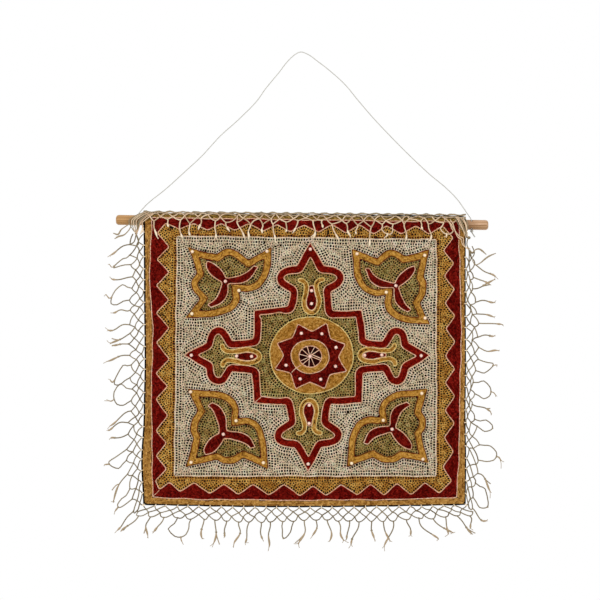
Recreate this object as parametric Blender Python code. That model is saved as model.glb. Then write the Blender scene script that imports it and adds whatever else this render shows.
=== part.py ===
"""Embroidered wall tapestry on a wooden rod, with a knotted net fringe, hung by a cord.

Metres, +Z up. The worked face looks along -Y. The origin is the underside of the hanging
cord at its highest point, where a nail or hook in the wall carries it.
"""
import math

import bmesh
import bpy
from mathutils import Vector

# Rod: a round dowel whose right end hangs a little lower.
ROD_DIAMETER = 0.013
ROD_LENGTH = 0.484
ROD_CENTRE_X = 0.0015
ROD_DROP = 0.2208            # from the origin down to the rod's axis, at x = 0
ROD_TILT = math.radians(0.8)
ROD_SIDES = 32
ROD_END_ROUND = 0.0038
ROD_RADIUS = ROD_DIAMETER / 2

# Holes drilled down through the rod, forward of its axis, for the cord.
BORE_DIAMETER = 0.0030
BORE_FORWARD = 0.0034
BORE_LEFT_X = -0.2113
BORE_RIGHT_X = 0.2217

# Worked cloth.
CLOTH_THICKNESS = 0.0025
CLOTH_LEFT = -0.2045
CLOTH_RIGHT = 0.2140
CLOTH_BOTTOM = -0.5878       # height of the two lower corners
BOTTOM_SAG = 0.0030          # the lower edge hangs lower in its middle
CLOTH_COLUMNS = 26
CLOTH_ROWS = 22
ROW_CROWDING = 1.6           # above 1, its rows lie closer together near the rod
ROD_CLEARANCE = 0.0005       # cloth to rod
WRAP_RADIUS = ROD_RADIUS + ROD_CLEARANCE + CLOTH_THICKNESS / 2
WRAP_STEPS = 14
HANG_FORWARD = 0.0030        # the cloth hangs this far in front of the rod's axis
DRAW_IN = 0.034              # height over which it draws in below the rod
FLAP_LENGTH = 0.030          # turned down behind the rod
FLAP_DRAW_IN = 0.024
FLAP_ROWS = 7
SEAM_GAP = 0.0005
WAVE_DEPTH = 0.0016
WAVES_ACROSS = 1.35
WAVES_DOWN = 0.9
WAVE_FREE_FROM = 0.35        # fraction of the fall at which the waves are full
HEM_CURL = 0.0012            # the lower edge turns this far forward
HEM_CURL_FROM = 0.9

# How far each side edge wanders from straight, by the fraction of the cloth's fall.
EDGE_WANDER = (
    # fall, left, right
    (0.00, 0.0000, 0.0000),
    (0.25, 0.0004, 0.0000),
    (0.50, 0.0012, 0.0004),
    (0.68, 0.0000, -0.0003),
    (0.85, -0.0032, 0.0006),
    (1.00, -0.0006, 0.0000),
)

# Net fringe: a plain band for the knotted net, with a tooth for each hanging tassel.
SEWN_GAP = 0.0005            # cloth to net
FRINGE_THICKNESS = 0.0016
TASSEL_ROOT_WIDTH = 0.0032
TASSEL_TIP_WIDTH = 0.0020
BARE_STEP = 0.008            # spacing of sections where the net carries no tassel
SIDE_FRINGE_START = -0.004   # a side fringe begins in front of the rod, above its axis
CORNER_TURN = 0.10           # length over which a side fringe turns to the corner
FRINGES = (
    # name, net depth, first tassel, tassels, shortest, longest, droop in degrees
    ("left", 0.0175, 0.004, 25, 0.024, 0.033, 17.0),
    ("right", 0.0125, 0.026, 22, 0.022, 0.030, 12.0),
    ("bottom", 0.0180, 0.000, 29, 0.022, 0.034, 2.0),
    ("top", 0.0200, 0.000, 27, 0.010, 0.024, 4.0),
)
TASSEL_SWING = 7.0           # degrees either way
SWING_RHYTHM = 1.3           # radians from one tassel's swing to the next
LENGTH_RHYTHM = 2.4          # and from one tassel's length to the next
TOP_FRINGE_LEAN_BACK = math.radians(14)   # its sewn edge, forward of the rod's top
TOP_FRINGE_GAP = 0.0005

# Hanging cord and its knots.
CORD_DIAMETER = 0.0015
CORD_STEPS = 2               # curve points for each stretch of the route
CORD_ROUTE = (
    # x, z from the left hole's foot over the nail to the right hole's foot
    (-0.2113, -0.2235),
    (-0.2113, -0.2172),
    (-0.2111, -0.2112),
    (-0.2084, -0.2064),
    (-0.1967, -0.1942),
    (-0.1755, -0.1773),
    (-0.1521, -0.1561),
    (-0.1287, -0.1344),
    (-0.1053, -0.1089),
    (-0.0822, -0.0881),
    (-0.0590, -0.0649),
    (-0.0458, -0.0467),
    (-0.0291, -0.0265),
    (-0.0208, -0.0155),
    (-0.0126, -0.0065),
    (-0.0052, -0.0008),
    (0.0004, 0.00075),
    (0.0060, -0.0009),
    (0.0130, -0.0047),
    (0.0208, -0.0107),
    (0.0372, -0.0234),
    (0.0572, -0.0416),
    (0.0737, -0.0616),
    (0.0936, -0.0848),
    (0.1170, -0.1097),
    (0.1400, -0.1329),
    (0.1664, -0.1578),
    (0.1864, -0.1743),
    (0.2028, -0.1908),
    (0.2158, -0.2092),
    (0.2202, -0.2157),
    (0.2216, -0.2200),
    (0.2217, -0.2295),
)
KNOT_DROP = 0.0080           # from the rod's axis to the middle of a knot
KNOT_PROFILE = (
    # drop, radius, lean of a knot and its free tail
    (-0.0019, 0.0008, 0.0000),
    (-0.0012, 0.0016, 0.0000),
    (0.0000, 0.0021, 0.0001),
    (0.0012, 0.0017, 0.0002),
    (0.0019, 0.0009, 0.0004),
    (0.0036, 0.00075, 0.0012),
    (0.0058, 0.00075, 0.0026),
    (0.0080, 0.00080, 0.0042),
)


def clear_scene():
    for old in list(bpy.data.objects):
        bpy.data.objects.remove(old, do_unlink=True)


def material(name, colour, roughness):
    mat = bpy.data.materials.new(name)
    mat.use_nodes = True
    shader = mat.node_tree.nodes["Principled BSDF"]
    shader.inputs["Base Color"].default_value = (*colour, 1.0)
    shader.inputs["Roughness"].default_value = roughness
    shader.inputs["Metallic"].default_value = 0.0
    return mat


def add_object(name, data, mat):
    obj = bpy.data.objects.new(name, data)
    bpy.context.collection.objects.link(obj)
    data.materials.append(mat)
    return obj


def ease(t):
    """0 to 1 with flat ends."""
    t = min(max(t, 0.0), 1.0)
    return t * t * (3 - 2 * t)


def edge_wander(fall, column):
    """One column of EDGE_WANDER at a fraction of the fall, eased between its rows."""
    for upper, lower in zip(EDGE_WANDER, EDGE_WANDER[1:]):
        if fall <= lower[0]:
            step = ease((fall - upper[0]) / (lower[0] - upper[0]))
            return upper[column] + (lower[column] - upper[column]) * step
    return EDGE_WANDER[-1][column]


def rod_height(x):
    """Height of the rod's axis at x."""
    return -ROD_DROP - x * math.tan(ROD_TILT)


# ---- the cloth's middle surface: u runs 0 to 1 from its left edge to its right

def cloth_x(u, fall):
    left = CLOTH_LEFT + edge_wander(fall, 1)
    right = CLOTH_RIGHT + edge_wander(fall, 2)
    return left + u * (right - left)


def cloth_fall(u):
    """Length of the cloth's front, from the rod's axis to the lower edge."""
    bottom = CLOTH_BOTTOM - BOTTOM_SAG * math.sin(math.pi * u)
    return rod_height(cloth_x(u, 0)) - bottom


def cloth_wave(u, fall):
    """Gentle unevenness of the hanging cloth, none at the rod."""
    across = math.sin(2 * math.pi * (WAVES_ACROSS * u + 0.22 * fall + 0.18))
    down = math.sin(2 * math.pi * (WAVES_DOWN * fall + 0.3 * u))
    curl = HEM_CURL * ease((fall - HEM_CURL_FROM) / (1 - HEM_CURL_FROM))
    wave = WAVE_DEPTH * (0.6 * across + 0.4 * down)
    return wave * ease(fall / WAVE_FREE_FROM) - curl


def front_y(u, drop):
    """Depth of the cloth in front of the rod and below it; drop is from the rod's axis."""
    drawn = (WRAP_RADIUS - HANG_FORWARD) * ease(drop / DRAW_IN)
    return -WRAP_RADIUS + drawn + cloth_wave(u, drop / cloth_fall(u))


def front_point(u, drop, lift=0.0):
    """A point on the cloth's front, lifted towards the viewer."""
    x = cloth_x(u, drop / cloth_fall(u))
    return Vector((x, front_y(u, drop) - lift, rod_height(cloth_x(u, 0)) - drop))


def wrap_point(u, angle, lift=0.0):
    """A point over the rod: angle 0 is its front, 90 degrees its top, 180 its back."""
    radius = WRAP_RADIUS + lift
    x = cloth_x(u, 0)
    return Vector((x, -radius * math.cos(angle), rod_height(x) + radius * math.sin(angle)))


def flap_point(u, drop, lift=0.0):
    """A point on the part turned down behind, which lies against the front at its end."""
    against = front_y(u, drop) + CLOTH_THICKNESS + SEAM_GAP
    y = WRAP_RADIUS + (against - WRAP_RADIUS) * ease(drop / FLAP_DRAW_IN)
    x = cloth_x(u, 0)
    return Vector((x, y + lift, rod_height(x) - drop))


def cloth_stations():
    """The cloth's section from the lower edge, over the rod, to the end of its flap."""
    rows = []
    for row in range(CLOTH_ROWS):
        share = (1 - row / CLOTH_ROWS) ** ROW_CROWDING
        rows.append((front_point, share))
    rows += [(wrap_point, math.pi * step / WRAP_STEPS) for step in range(WRAP_STEPS + 1)]
    rows += [(flap_point, FLAP_LENGTH * (row + 1) / FLAP_ROWS) for row in range(FLAP_ROWS)]
    return rows


def cloth_at(u, station, lift):
    place, value = station
    if place is front_point:
        value *= cloth_fall(u)
    return place(u, value, lift)


# ---- solids

def solid_between(name, fronts, backs, faces, mat):
    """A closed solid between two matching sheets, walled along their open edges."""
    count = len(fronts)
    solid_faces = [tuple(face) for face in faces]
    solid_faces += [tuple(count + v for v in reversed(face)) for face in faces]
    edges = {(a, b) for face in faces for a, b in zip(face, face[1:] + face[:1])}
    for a, b in sorted(edges):
        if (b, a) not in edges:
            solid_faces.append((b, a, count + a, count + b))
    mesh = bpy.data.meshes.new(name)
    mesh.from_pydata([tuple(p) for p in fronts + backs], [], solid_faces)
    triangulate(mesh)
    return add_object(name, mesh, mat)


def triangulate(mesh):
    bm = bmesh.new()
    bm.from_mesh(mesh)
    bmesh.ops.triangulate(bm, faces=bm.faces)
    bmesh.ops.recalc_face_normals(bm, faces=bm.faces)
    bm.to_mesh(mesh)
    bm.free()
    mesh.update()


def make_panel(mat):
    stations = cloth_stations()
    columns = [column / CLOTH_COLUMNS for column in range(CLOTH_COLUMNS + 1)]
    half = CLOTH_THICKNESS / 2
    fronts = [cloth_at(u, station, half) for station in stations for u in columns]
    backs = [cloth_at(u, station, -half) for station in stations for u in columns]
    width = len(columns)
    faces = []
    for row in range(len(stations) - 1):
        for column in range(width - 1):
            corner = row * width + column
            faces.append([corner, corner + 1, corner + width + 1, corner + width])
    return solid_between("panel", fronts, backs, faces, mat)


# ---- fringes: "along" runs down or across the cloth's edge, "out" away from it

def corner_turn(distance):
    """0 away from a lower corner, 45 degrees at the corner itself."""
    return math.radians(45) * ease(1 - distance / CORNER_TURN)


def side_place(u, sign):
    """Places for a side fringe: along is the drop below the rod's axis."""
    length = cloth_fall(u)

    def place(along, out, lift):
        turn = corner_turn(length - along)
        edge = front_point(u, min(along, length), lift)
        edge.x += sign * (SEWN_GAP + out * math.cos(turn))
        edge.z -= out * math.sin(turn)
        return edge
    return place


def bottom_place(along, out, lift):
    """Places for the lower fringe: along is the distance from the left corner."""
    width = CLOTH_RIGHT - CLOTH_LEFT
    u = min(max(along / width, 0.0), 1.0)
    edge = front_point(u, cloth_fall(u), lift)
    turn = corner_turn(width - along) - corner_turn(along)
    edge.x += out * math.sin(turn)
    edge.z -= SEWN_GAP + out * math.cos(turn)
    return edge


def top_place(along, out, lift):
    """Places for the top fringe, which falls forward over the rod's front."""
    stand_off = CLOTH_THICKNESS / 2 + TOP_FRINGE_GAP + FRINGE_THICKNESS / 2
    u = along / (CLOTH_RIGHT - CLOTH_LEFT)
    arc = (math.pi / 2 - TOP_FRINGE_LEAN_BACK) * (WRAP_RADIUS + stand_off)
    if out < arc:
        angle = (arc - out) / (WRAP_RADIUS + stand_off)
        return wrap_point(u, angle, stand_off + lift)
    return front_point(u, out - arc, stand_off + lift)


def tassel_rows(first, last, count, shortest, longest, droop):
    """Root, length and angle of each tassel of a fringe, uneven by a fixed rule."""
    pitch = (last - first) / count
    for i in range(count):
        root = first + pitch * (i + 0.5)
        longer = 0.5 + 0.5 * math.sin(LENGTH_RHYTHM * i)
        length = shortest + (longest - shortest) * longer
        angle = droop + TASSEL_SWING * math.sin(SWING_RHYTHM * i)
        yield root, length, math.radians(angle)


def make_fringe(name, place, first, last, depth, tassels, net_rows, tassel_rows_count, mat):
    """One comb: the net's band from the cloth's edge outward, and a tooth for each tassel."""
    half_root = TASSEL_ROOT_WIDTH / 2
    bare = tassels[0][0] - half_root - first
    lead = [first + BARE_STEP * step for step in range(math.ceil(bare / BARE_STEP))]
    stops = list(lead)
    for root, _, _ in tassels:
        stops += [root - half_root, root + half_root]
    stops.append(last)

    spots = [(along, depth * row / net_rows) for row in range(net_rows + 1) for along in stops]
    width = len(stops)
    faces = []
    for row in range(net_rows):
        for column in range(width - 1):
            corner = row * width + column
            faces.append([corner, corner + 1, corner + width + 1, corner + width])

    for i, (root, length, angle) in enumerate(tassels):
        left = net_rows * width + len(lead) + 2 * i
        upper = [left, left + 1]
        for step in range(1, tassel_rows_count + 1):
            share = step / tassel_rows_count
            half = half_root + (TASSEL_TIP_WIDTH / 2 - half_root) * share
            middle = root + length * math.sin(angle) * share
            out = depth + length * math.cos(angle) * share
            lower = [len(spots), len(spots) + 1]
            spots += [(middle - half, out), (middle + half, out)]
            faces.append([upper[0], upper[1], lower[1], lower[0]])
            upper = lower

    half = FRINGE_THICKNESS / 2
    fronts = [place(along, out, half) for along, out in spots]
    backs = [place(along, out, -half) for along, out in spots]
    return solid_between(name, fronts, backs, faces, mat)


def make_fringes(mat):
    cloth_width = CLOTH_RIGHT - CLOTH_LEFT
    left_fall = cloth_fall(0)
    right_fall = cloth_fall(1)
    runs = {
        # name: place, first, last, rows across the net, rows in a tassel
        "left": (side_place(0, -1), SIDE_FRINGE_START, left_fall, 1, 1),
        "right": (side_place(1, 1), SIDE_FRINGE_START, right_fall, 1, 1),
        "bottom": (bottom_place, 0.0, cloth_width, 1, 1),
        "top": (top_place, 0.0, cloth_width, 6, 3),
    }
    for name, depth, first_tassel, count, shortest, longest, droop in FRINGES:
        place, first, last, net_rows, tooth_rows = runs[name]
        tassels = list(tassel_rows(first_tassel, last, count, shortest, longest, droop))
        make_fringe(f"fringe_{name}", place, first, last, depth, tassels, net_rows,
                    tooth_rows, mat)


# ---- rod

def make_bore_cutter(name, x):
    mesh = bpy.data.meshes.new(name)
    bm = bmesh.new()
    bmesh.ops.create_cone(bm, cap_ends=True, segments=16, radius1=BORE_DIAMETER / 2,
                          radius2=BORE_DIAMETER / 2, depth=2 * ROD_DIAMETER)
    bm.to_mesh(mesh)
    bm.free()
    cutter = bpy.data.objects.new(name, mesh)
    bpy.context.collection.objects.link(cutter)
    cutter.location = (x, -BORE_FORWARD, rod_height(x))
    cutter.hide_render = True
    cutter.display_type = "WIRE"
    return cutter


def make_rod(mat):
    mesh = bpy.data.meshes.new("rod")
    bm = bmesh.new()
    bmesh.ops.create_cone(bm, cap_ends=True, segments=ROD_SIDES, radius1=ROD_RADIUS,
                          radius2=ROD_RADIUS, depth=ROD_LENGTH)
    rims = [e for e in bm.edges if abs(e.verts[0].co.z - e.verts[1].co.z) < 1e-6]
    bmesh.ops.bevel(bm, geom=rims, offset=ROD_END_ROUND, segments=4, profile=0.5,
                    affect="EDGES")
    bm.to_mesh(mesh)
    bm.free()
    mesh.shade_smooth()
    mesh.set_sharp_from_angle(angle=math.radians(40))
    rod = add_object("rod", mesh, mat)
    rod.location = (ROD_CENTRE_X, 0, rod_height(ROD_CENTRE_X))
    rod.rotation_euler = (0, math.pi / 2 + ROD_TILT, 0)
    for side, x in (("left", BORE_LEFT_X), ("right", BORE_RIGHT_X)):
        drill = rod.modifiers.new(f"bore_{side}", "BOOLEAN")
        drill.operation = "DIFFERENCE"
        drill.solver = "EXACT"
        drill.object = make_bore_cutter(f"bore_cutter_{side}", x)
    return rod


# ---- cord

def spline_through(points, steps):
    """Points on a smooth curve through the route's own points (Catmull-Rom)."""
    ends = [points[0] * 2 - points[1], *points, points[-1] * 2 - points[-2]]
    smooth = []
    for a, b, c, d in zip(ends, ends[1:], ends[2:], ends[3:]):
        for step in range(steps):
            t = step / steps
            smooth.append(0.5 * (2 * b + (c - a) * t + (2 * a - 5 * b + 4 * c - d) * t ** 2
                                 + (3 * b - a - 3 * c + d) * t ** 3))
    return smooth + [points[-1]]


def add_tube(name, points, radii, bevel, mat):
    curve = bpy.data.curves.new(name, "CURVE")
    curve.dimensions = "3D"
    curve.bevel_depth = bevel
    curve.bevel_resolution = 2
    curve.use_fill_caps = True
    spline = curve.splines.new("POLY")
    spline.points.add(len(points) - 1)
    for spot, point, radius in zip(spline.points, points, radii):
        spot.co = (*point, 1.0)
        spot.radius = radius / bevel
    return add_object(name, curve, mat)


def cord_y(x):
    """The cord leans forward from the nail to the holes."""
    return -BORE_FORWARD * min(abs(x) / min(-BORE_LEFT_X, BORE_RIGHT_X), 1.0)


def make_cord(mat):
    route = [Vector((x, cord_y(x), z)) for x, z in CORD_ROUTE]
    points = spline_through(route, CORD_STEPS)
    radius = CORD_DIAMETER / 2
    return add_tube("hanging_cord", points, [radius] * len(points), radius, mat)


def make_knot(name, x, sign, mat):
    """A knot drawn up under the rod, with the cord's free tail."""
    centre = rod_height(x) - KNOT_DROP
    points = [Vector((x + sign * lean, -BORE_FORWARD, centre - drop))
              for drop, _, lean in KNOT_PROFILE]
    radii = [radius for _, radius, _ in KNOT_PROFILE]
    return add_tube(name, points, radii, CORD_DIAMETER / 2, mat)


def main():
    clear_scene()
    cloth = material("worked_cloth", (0.34, 0.22, 0.10), 0.9)
    wood = material("rod_wood", (0.50, 0.32, 0.15), 0.55)
    string = material("fringe_string", (0.45, 0.38, 0.27), 0.9)
    cord = material("hanging_cord", (0.66, 0.64, 0.58), 0.85)
    make_rod(wood)
    make_panel(cloth)
    make_fringes(string)
    make_cord(cord)
    make_knot("cord_knot_left", BORE_LEFT_X, -1, cord)
    make_knot("cord_knot_right", BORE_RIGHT_X, 1, cord)


main()
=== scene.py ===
"""Looks of the embroidered wall tapestry: cloth, stitches, beads, net fringe, cord and rod.

Metres, +Z up, the worked face looks along -Y. The embroidery is laid out on the flat cloth:
x runs across, and s is the height, or above the rod's axis the length round the rod.
"""
import math
from collections import namedtuple

import bpy
import numpy as np
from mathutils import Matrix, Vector, kdtree


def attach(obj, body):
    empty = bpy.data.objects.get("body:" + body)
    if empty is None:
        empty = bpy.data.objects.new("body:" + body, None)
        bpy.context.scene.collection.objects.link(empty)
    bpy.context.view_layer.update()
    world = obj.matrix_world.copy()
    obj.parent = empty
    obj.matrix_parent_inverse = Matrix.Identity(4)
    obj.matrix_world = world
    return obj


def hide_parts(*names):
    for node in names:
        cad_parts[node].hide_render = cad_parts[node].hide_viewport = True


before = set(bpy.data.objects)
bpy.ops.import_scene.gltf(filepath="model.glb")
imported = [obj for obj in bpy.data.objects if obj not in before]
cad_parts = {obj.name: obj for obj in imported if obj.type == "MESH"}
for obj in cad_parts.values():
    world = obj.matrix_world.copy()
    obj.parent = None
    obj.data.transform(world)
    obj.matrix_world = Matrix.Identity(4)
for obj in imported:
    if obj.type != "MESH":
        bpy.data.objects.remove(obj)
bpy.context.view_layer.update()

RNG = np.random.default_rng(11)
MM = 0.001

# ---- sizes shared with the solids

ROD_DIAMETER = 0.013
ROD_DROP = 0.2208
ROD_TILT = math.radians(0.8)
ROD_RADIUS = ROD_DIAMETER / 2
BORE_FORWARD = 0.0034
BORE_LEFT_X = -0.2113
BORE_RIGHT_X = 0.2217

CLOTH_THICKNESS = 0.0025
CLOTH_LEFT = -0.2045
CLOTH_RIGHT = 0.2140
CLOTH_WIDTH = CLOTH_RIGHT - CLOTH_LEFT
CLOTH_BOTTOM = -0.5878
BOTTOM_SAG = 0.0030
ROD_CLEARANCE = 0.0005
WRAP_RADIUS = ROD_RADIUS + ROD_CLEARANCE + CLOTH_THICKNESS / 2
HANG_FORWARD = 0.0030
DRAW_IN = 0.034
FLAP_LENGTH = 0.030
FLAP_DRAW_IN = 0.024
SEAM_GAP = 0.0005
WAVE_DEPTH = 0.0016
WAVES_ACROSS = 1.35
WAVES_DOWN = 0.9
WAVE_FREE_FROM = 0.35
HEM_CURL = 0.0012
HEM_CURL_FROM = 0.9
EDGE_WANDER = (
    # fall, left, right
    (0.00, 0.0000, 0.0000),
    (0.25, 0.0004, 0.0000),
    (0.50, 0.0012, 0.0004),
    (0.68, 0.0000, -0.0003),
    (0.85, -0.0032, 0.0006),
    (1.00, -0.0006, 0.0000),
)

SEWN_GAP = 0.0005
CORNER_TURN = 0.10
FRINGES = (
    # name, net depth, first tassel, tassels, shortest, longest, droop in degrees
    ("left", 0.0175, 0.004, 25, 0.024, 0.033, 17.0),
    ("right", 0.0125, 0.026, 22, 0.022, 0.030, 12.0),
    ("bottom", 0.0180, 0.000, 29, 0.022, 0.034, 2.0),
    ("top", 0.0200, 0.000, 27, 0.010, 0.024, 4.0),
)
TASSEL_SWING = 7.0
SWING_RHYTHM = 1.3
LENGTH_RHYTHM = 2.4
TOP_FRINGE_LEAN_BACK = math.radians(14)

CORD_DIAMETER = 0.0015
CORD_ROUTE = (
    # x, z from the left hole's foot over the nail to the right hole's foot
    (-0.2113, -0.2235),
    (-0.2113, -0.2172),
    (-0.2111, -0.2112),
    (-0.2084, -0.2064),
    (-0.1967, -0.1942),
    (-0.1755, -0.1773),
    (-0.1521, -0.1561),
    (-0.1287, -0.1344),
    (-0.1053, -0.1089),
    (-0.0822, -0.0881),
    (-0.0590, -0.0649),
    (-0.0458, -0.0467),
    (-0.0291, -0.0265),
    (-0.0208, -0.0155),
    (-0.0126, -0.0065),
    (-0.0052, -0.0008),
    (0.0004, 0.00075),
    (0.0060, -0.0009),
    (0.0130, -0.0047),
    (0.0208, -0.0107),
    (0.0372, -0.0234),
    (0.0572, -0.0416),
    (0.0737, -0.0616),
    (0.0936, -0.0848),
    (0.1170, -0.1097),
    (0.1400, -0.1329),
    (0.1664, -0.1578),
    (0.1864, -0.1743),
    (0.2028, -0.1908),
    (0.2158, -0.2092),
    (0.2202, -0.2157),
    (0.2216, -0.2200),
    (0.2217, -0.2295),
)

# ---- the base cloth inside the panel's solid, and the layers on it

BASE_BACK = -CLOTH_THICKNESS / 2       # lifts from the cloth's middle surface
BASE_FRONT = -0.00035
WRAP_TOP = WRAP_RADIUS * math.pi / 2   # length round the rod from its front to its top


def ease(t):
    """0 to 1 with flat ends."""
    t = np.clip(t, 0.0, 1.0)
    return t * t * (3 - 2 * t)


def wander(table, fall, column):
    """A table's value at a fraction of the fall, eased from row to row."""
    found = np.full(np.shape(fall), table[-1][column])
    for upper, lower in reversed(list(zip(table, table[1:]))):
        step = ease((fall - upper[0]) / (lower[0] - upper[0]))
        here = upper[column] + (lower[column] - upper[column]) * step
        found = np.where(fall <= lower[0], here, found)
    return found


def edge_wander(fall, column):
    """How far an edge strays to the right: column 1 is the left edge, 2 the right."""
    return wander(EDGE_WANDER, fall, column)


def rod_height(x):
    """Height of the rod's axis."""
    return -ROD_DROP - x * math.tan(ROD_TILT)


def across(x):
    """0 at the cloth's left edge, 1 at its right."""
    return np.clip((x - CLOTH_LEFT) / CLOTH_WIDTH, 0.0, 1.0)


def hem_height(u):
    return CLOTH_BOTTOM - BOTTOM_SAG * np.sin(np.pi * u)


def cloth_fall(u):
    """Length of the hanging front, from the rod's axis to the hem."""
    return rod_height(CLOTH_LEFT + u * CLOTH_WIDTH) - hem_height(u)


def cloth_wave(u, fall):
    """How far the hanging cloth waves back, and its hem curls forward."""
    across_wave = np.sin(2 * np.pi * (WAVES_ACROSS * u + 0.22 * fall + 0.18))
    down_wave = np.sin(2 * np.pi * (WAVES_DOWN * fall + 0.3 * u))
    curl = HEM_CURL * ease((fall - HEM_CURL_FROM) / (1 - HEM_CURL_FROM))
    wave = WAVE_DEPTH * (0.6 * across_wave + 0.4 * down_wave)
    return wave * ease(fall / WAVE_FREE_FROM) - curl


def front_y(u, drop):
    """Y of the hanging cloth's middle surface at a drop below the rod's axis."""
    drawn = (WRAP_RADIUS - HANG_FORWARD) * ease(drop / DRAW_IN)
    return -WRAP_RADIUS + drawn + cloth_wave(u, np.clip(drop / cloth_fall(u), 0, 1))


def on_cloth(x, s, lift=0.0):
    """Points on the hung cloth for flat places (x, s), lifted off its middle surface."""
    x, s, lift = np.broadcast_arrays(*(np.asarray(v, float) for v in (x, s, lift)))
    drop = rod_height(x) - s
    front = np.stack([x, front_y(across(x), np.maximum(drop, 0)) - lift, s], -1)
    angle = np.maximum(-drop, 0) / WRAP_RADIUS
    radius = WRAP_RADIUS + lift
    over = [x, -radius * np.cos(angle), rod_height(x) + radius * np.sin(angle)]
    return np.where((drop > 0)[..., None], front, np.stack(over, -1))


def on_flap(x, drop, lift=0.0):
    """Points on the part turned down behind the rod."""
    x, drop, lift = np.broadcast_arrays(*(np.asarray(v, float) for v in (x, drop, lift)))
    against = front_y(across(x), drop) + CLOTH_THICKNESS + SEAM_GAP
    y = WRAP_RADIUS + (against - WRAP_RADIUS) * ease(drop / FLAP_DRAW_IN)
    return np.stack([x, y + lift, rod_height(x) - drop], -1)


def smooth_through(points, steps):
    """Points on a smooth curve through the given ones (Catmull-Rom)."""
    p = np.asarray(points, float)
    p = np.concatenate([2 * p[:1] - p[1:2], p, 2 * p[-1:] - p[-2:-1]])
    t = (np.arange(steps) / steps)[:, None]
    runs = []
    for a, b, c, d in zip(p, p[1:], p[2:], p[3:]):
        runs.append(0.5 * (2 * b + (c - a) * t + (2 * a - 5 * b + 4 * c - d) * t ** 2
                           + (3 * b - a - 3 * c + d) * t ** 3))
    return np.concatenate(runs + [p[-2:-1]])


# ---- materials

def linear(hex_colour):
    """A colour written as RRGGBB, as linear light."""
    channels = [int(hex_colour[i:i + 2], 16) / 255 for i in (0, 2, 4)]
    return [c / 12.92 if c <= 0.04045 else ((c + 0.055) / 1.055) ** 2.4 for c in channels]


class Finish:
    """A node material under construction. Its colours are sockets, or written as RRGGBB."""

    def __init__(self, name, roughness, specular=0.3):
        self.material = bpy.data.materials.new(name)
        self.material.use_nodes = True
        self.nodes = self.material.node_tree.nodes
        self.links = self.material.node_tree.links
        self.shader = self.nodes["Principled BSDF"]
        self.shader.inputs["Roughness"].default_value = roughness
        self.shader.inputs["Specular IOR Level"].default_value = specular
        self.place = self.nodes.new("ShaderNodeTexCoord").outputs["Object"]

    def node(self, kind, inputs=(), **settings):
        node = self.nodes.new(kind)
        for key, value in settings.items():
            setattr(node, key, value)
        for key, value in dict(inputs).items():
            self.connect(value, node.inputs[key])
        return node

    def connect(self, value, socket):
        if isinstance(value, bpy.types.NodeSocket):
            self.links.new(value, socket)
        elif isinstance(value, str):
            socket.default_value = (*linear(value), 1.0)
        else:
            socket.default_value = value

    def stretched(self, scale):
        return self.node("ShaderNodeMapping", {"Vector": self.place, "Scale": scale}).outputs[0]

    def noise(self, scale, detail=3.0, vector=None):
        place = self.place if vector is None else vector
        found = self.node("ShaderNodeTexNoise", {"Vector": place, "Scale": scale, "Detail": detail})
        return found.outputs["Fac"]

    def waves(self, scale, distortion, direction):
        found = self.node("ShaderNodeTexWave", {"Vector": self.place, "Scale": scale,
                                                "Distortion": distortion},
                          bands_direction=direction)
        return found.outputs["Fac"]

    def ramp(self, value, stops):
        """Colours by value, from stops of a position and a colour."""
        ramp = self.node("ShaderNodeValToRGB", {"Fac": value})
        elements = ramp.color_ramp.elements
        while len(elements) < len(stops):
            elements.new(0.5)
        for element, (position, colour) in zip(elements, stops):
            element.position = position
            element.color = (*linear(colour), 1.0)
        return ramp.outputs["Color"]

    def mix(self, share, a, b, blend="MIX"):
        node = self.nodes.new("ShaderNodeMix")
        node.data_type = "RGBA"
        node.blend_type = blend
        self.connect(share, node.inputs["Factor"])
        self.connect(a, node.inputs[6])
        self.connect(b, node.inputs[7])
        return node.outputs[2]

    def math(self, operation, a, b=0.0):
        node = self.node("ShaderNodeMath", operation=operation)
        self.connect(a, node.inputs[0])
        self.connect(b, node.inputs[1])
        return node.outputs[0]

    def weighed(self, value, weight, *others):
        """The sum of values, each times the weight that follows it."""
        total = self.math("MULTIPLY", value, weight)
        for other, weight in zip(others[::2], others[1::2]):
            total = self.math("ADD", total, self.math("MULTIPLY", other, weight))
        return total

    def attribute(self, name):
        return self.node("ShaderNodeAttribute", attribute_name=name).outputs["Fac"]

    def bump(self, height, strength, distance):
        bump = self.node("ShaderNodeBump", {"Height": height, "Strength": strength,
                                            "Distance": distance})
        self.links.new(bump.outputs["Normal"], self.shader.inputs["Normal"])

    def colour(self, value):
        self.connect(value, self.shader.inputs["Base Color"])


def thread_finish(name, dark, middle, light, flecks=None):
    """Spun thread: each stitch has its own tint, and some threads cool and warm flecks."""
    finish = Finish(name, 0.85, 0.04)
    tint = finish.attribute("tint")
    drift = finish.noise(38.0, 2.0)
    mottle = finish.noise(740.0, 1.0)
    share = finish.weighed(tint, 0.62, drift, 0.30, mottle, 0.90)
    share = finish.math("SUBTRACT", share, 0.41)
    base = finish.ramp(share, ((0.15, dark), (0.5, middle), (0.88, light)))
    if flecks:
        cool, warm = flecks
        spots = finish.ramp(finish.noise(300.0, 2.0), ((0.38, cool), (0.62, warm)))
        base = finish.mix(1.0, base, spots, "MULTIPLY")
    fibre = finish.noise(1500.0, 2.0)
    finish.colour(finish.mix(finish.weighed(fibre, 0.22), base, dark))
    finish.bump(fibre, 0.3, 0.00012)
    return finish.material


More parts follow.
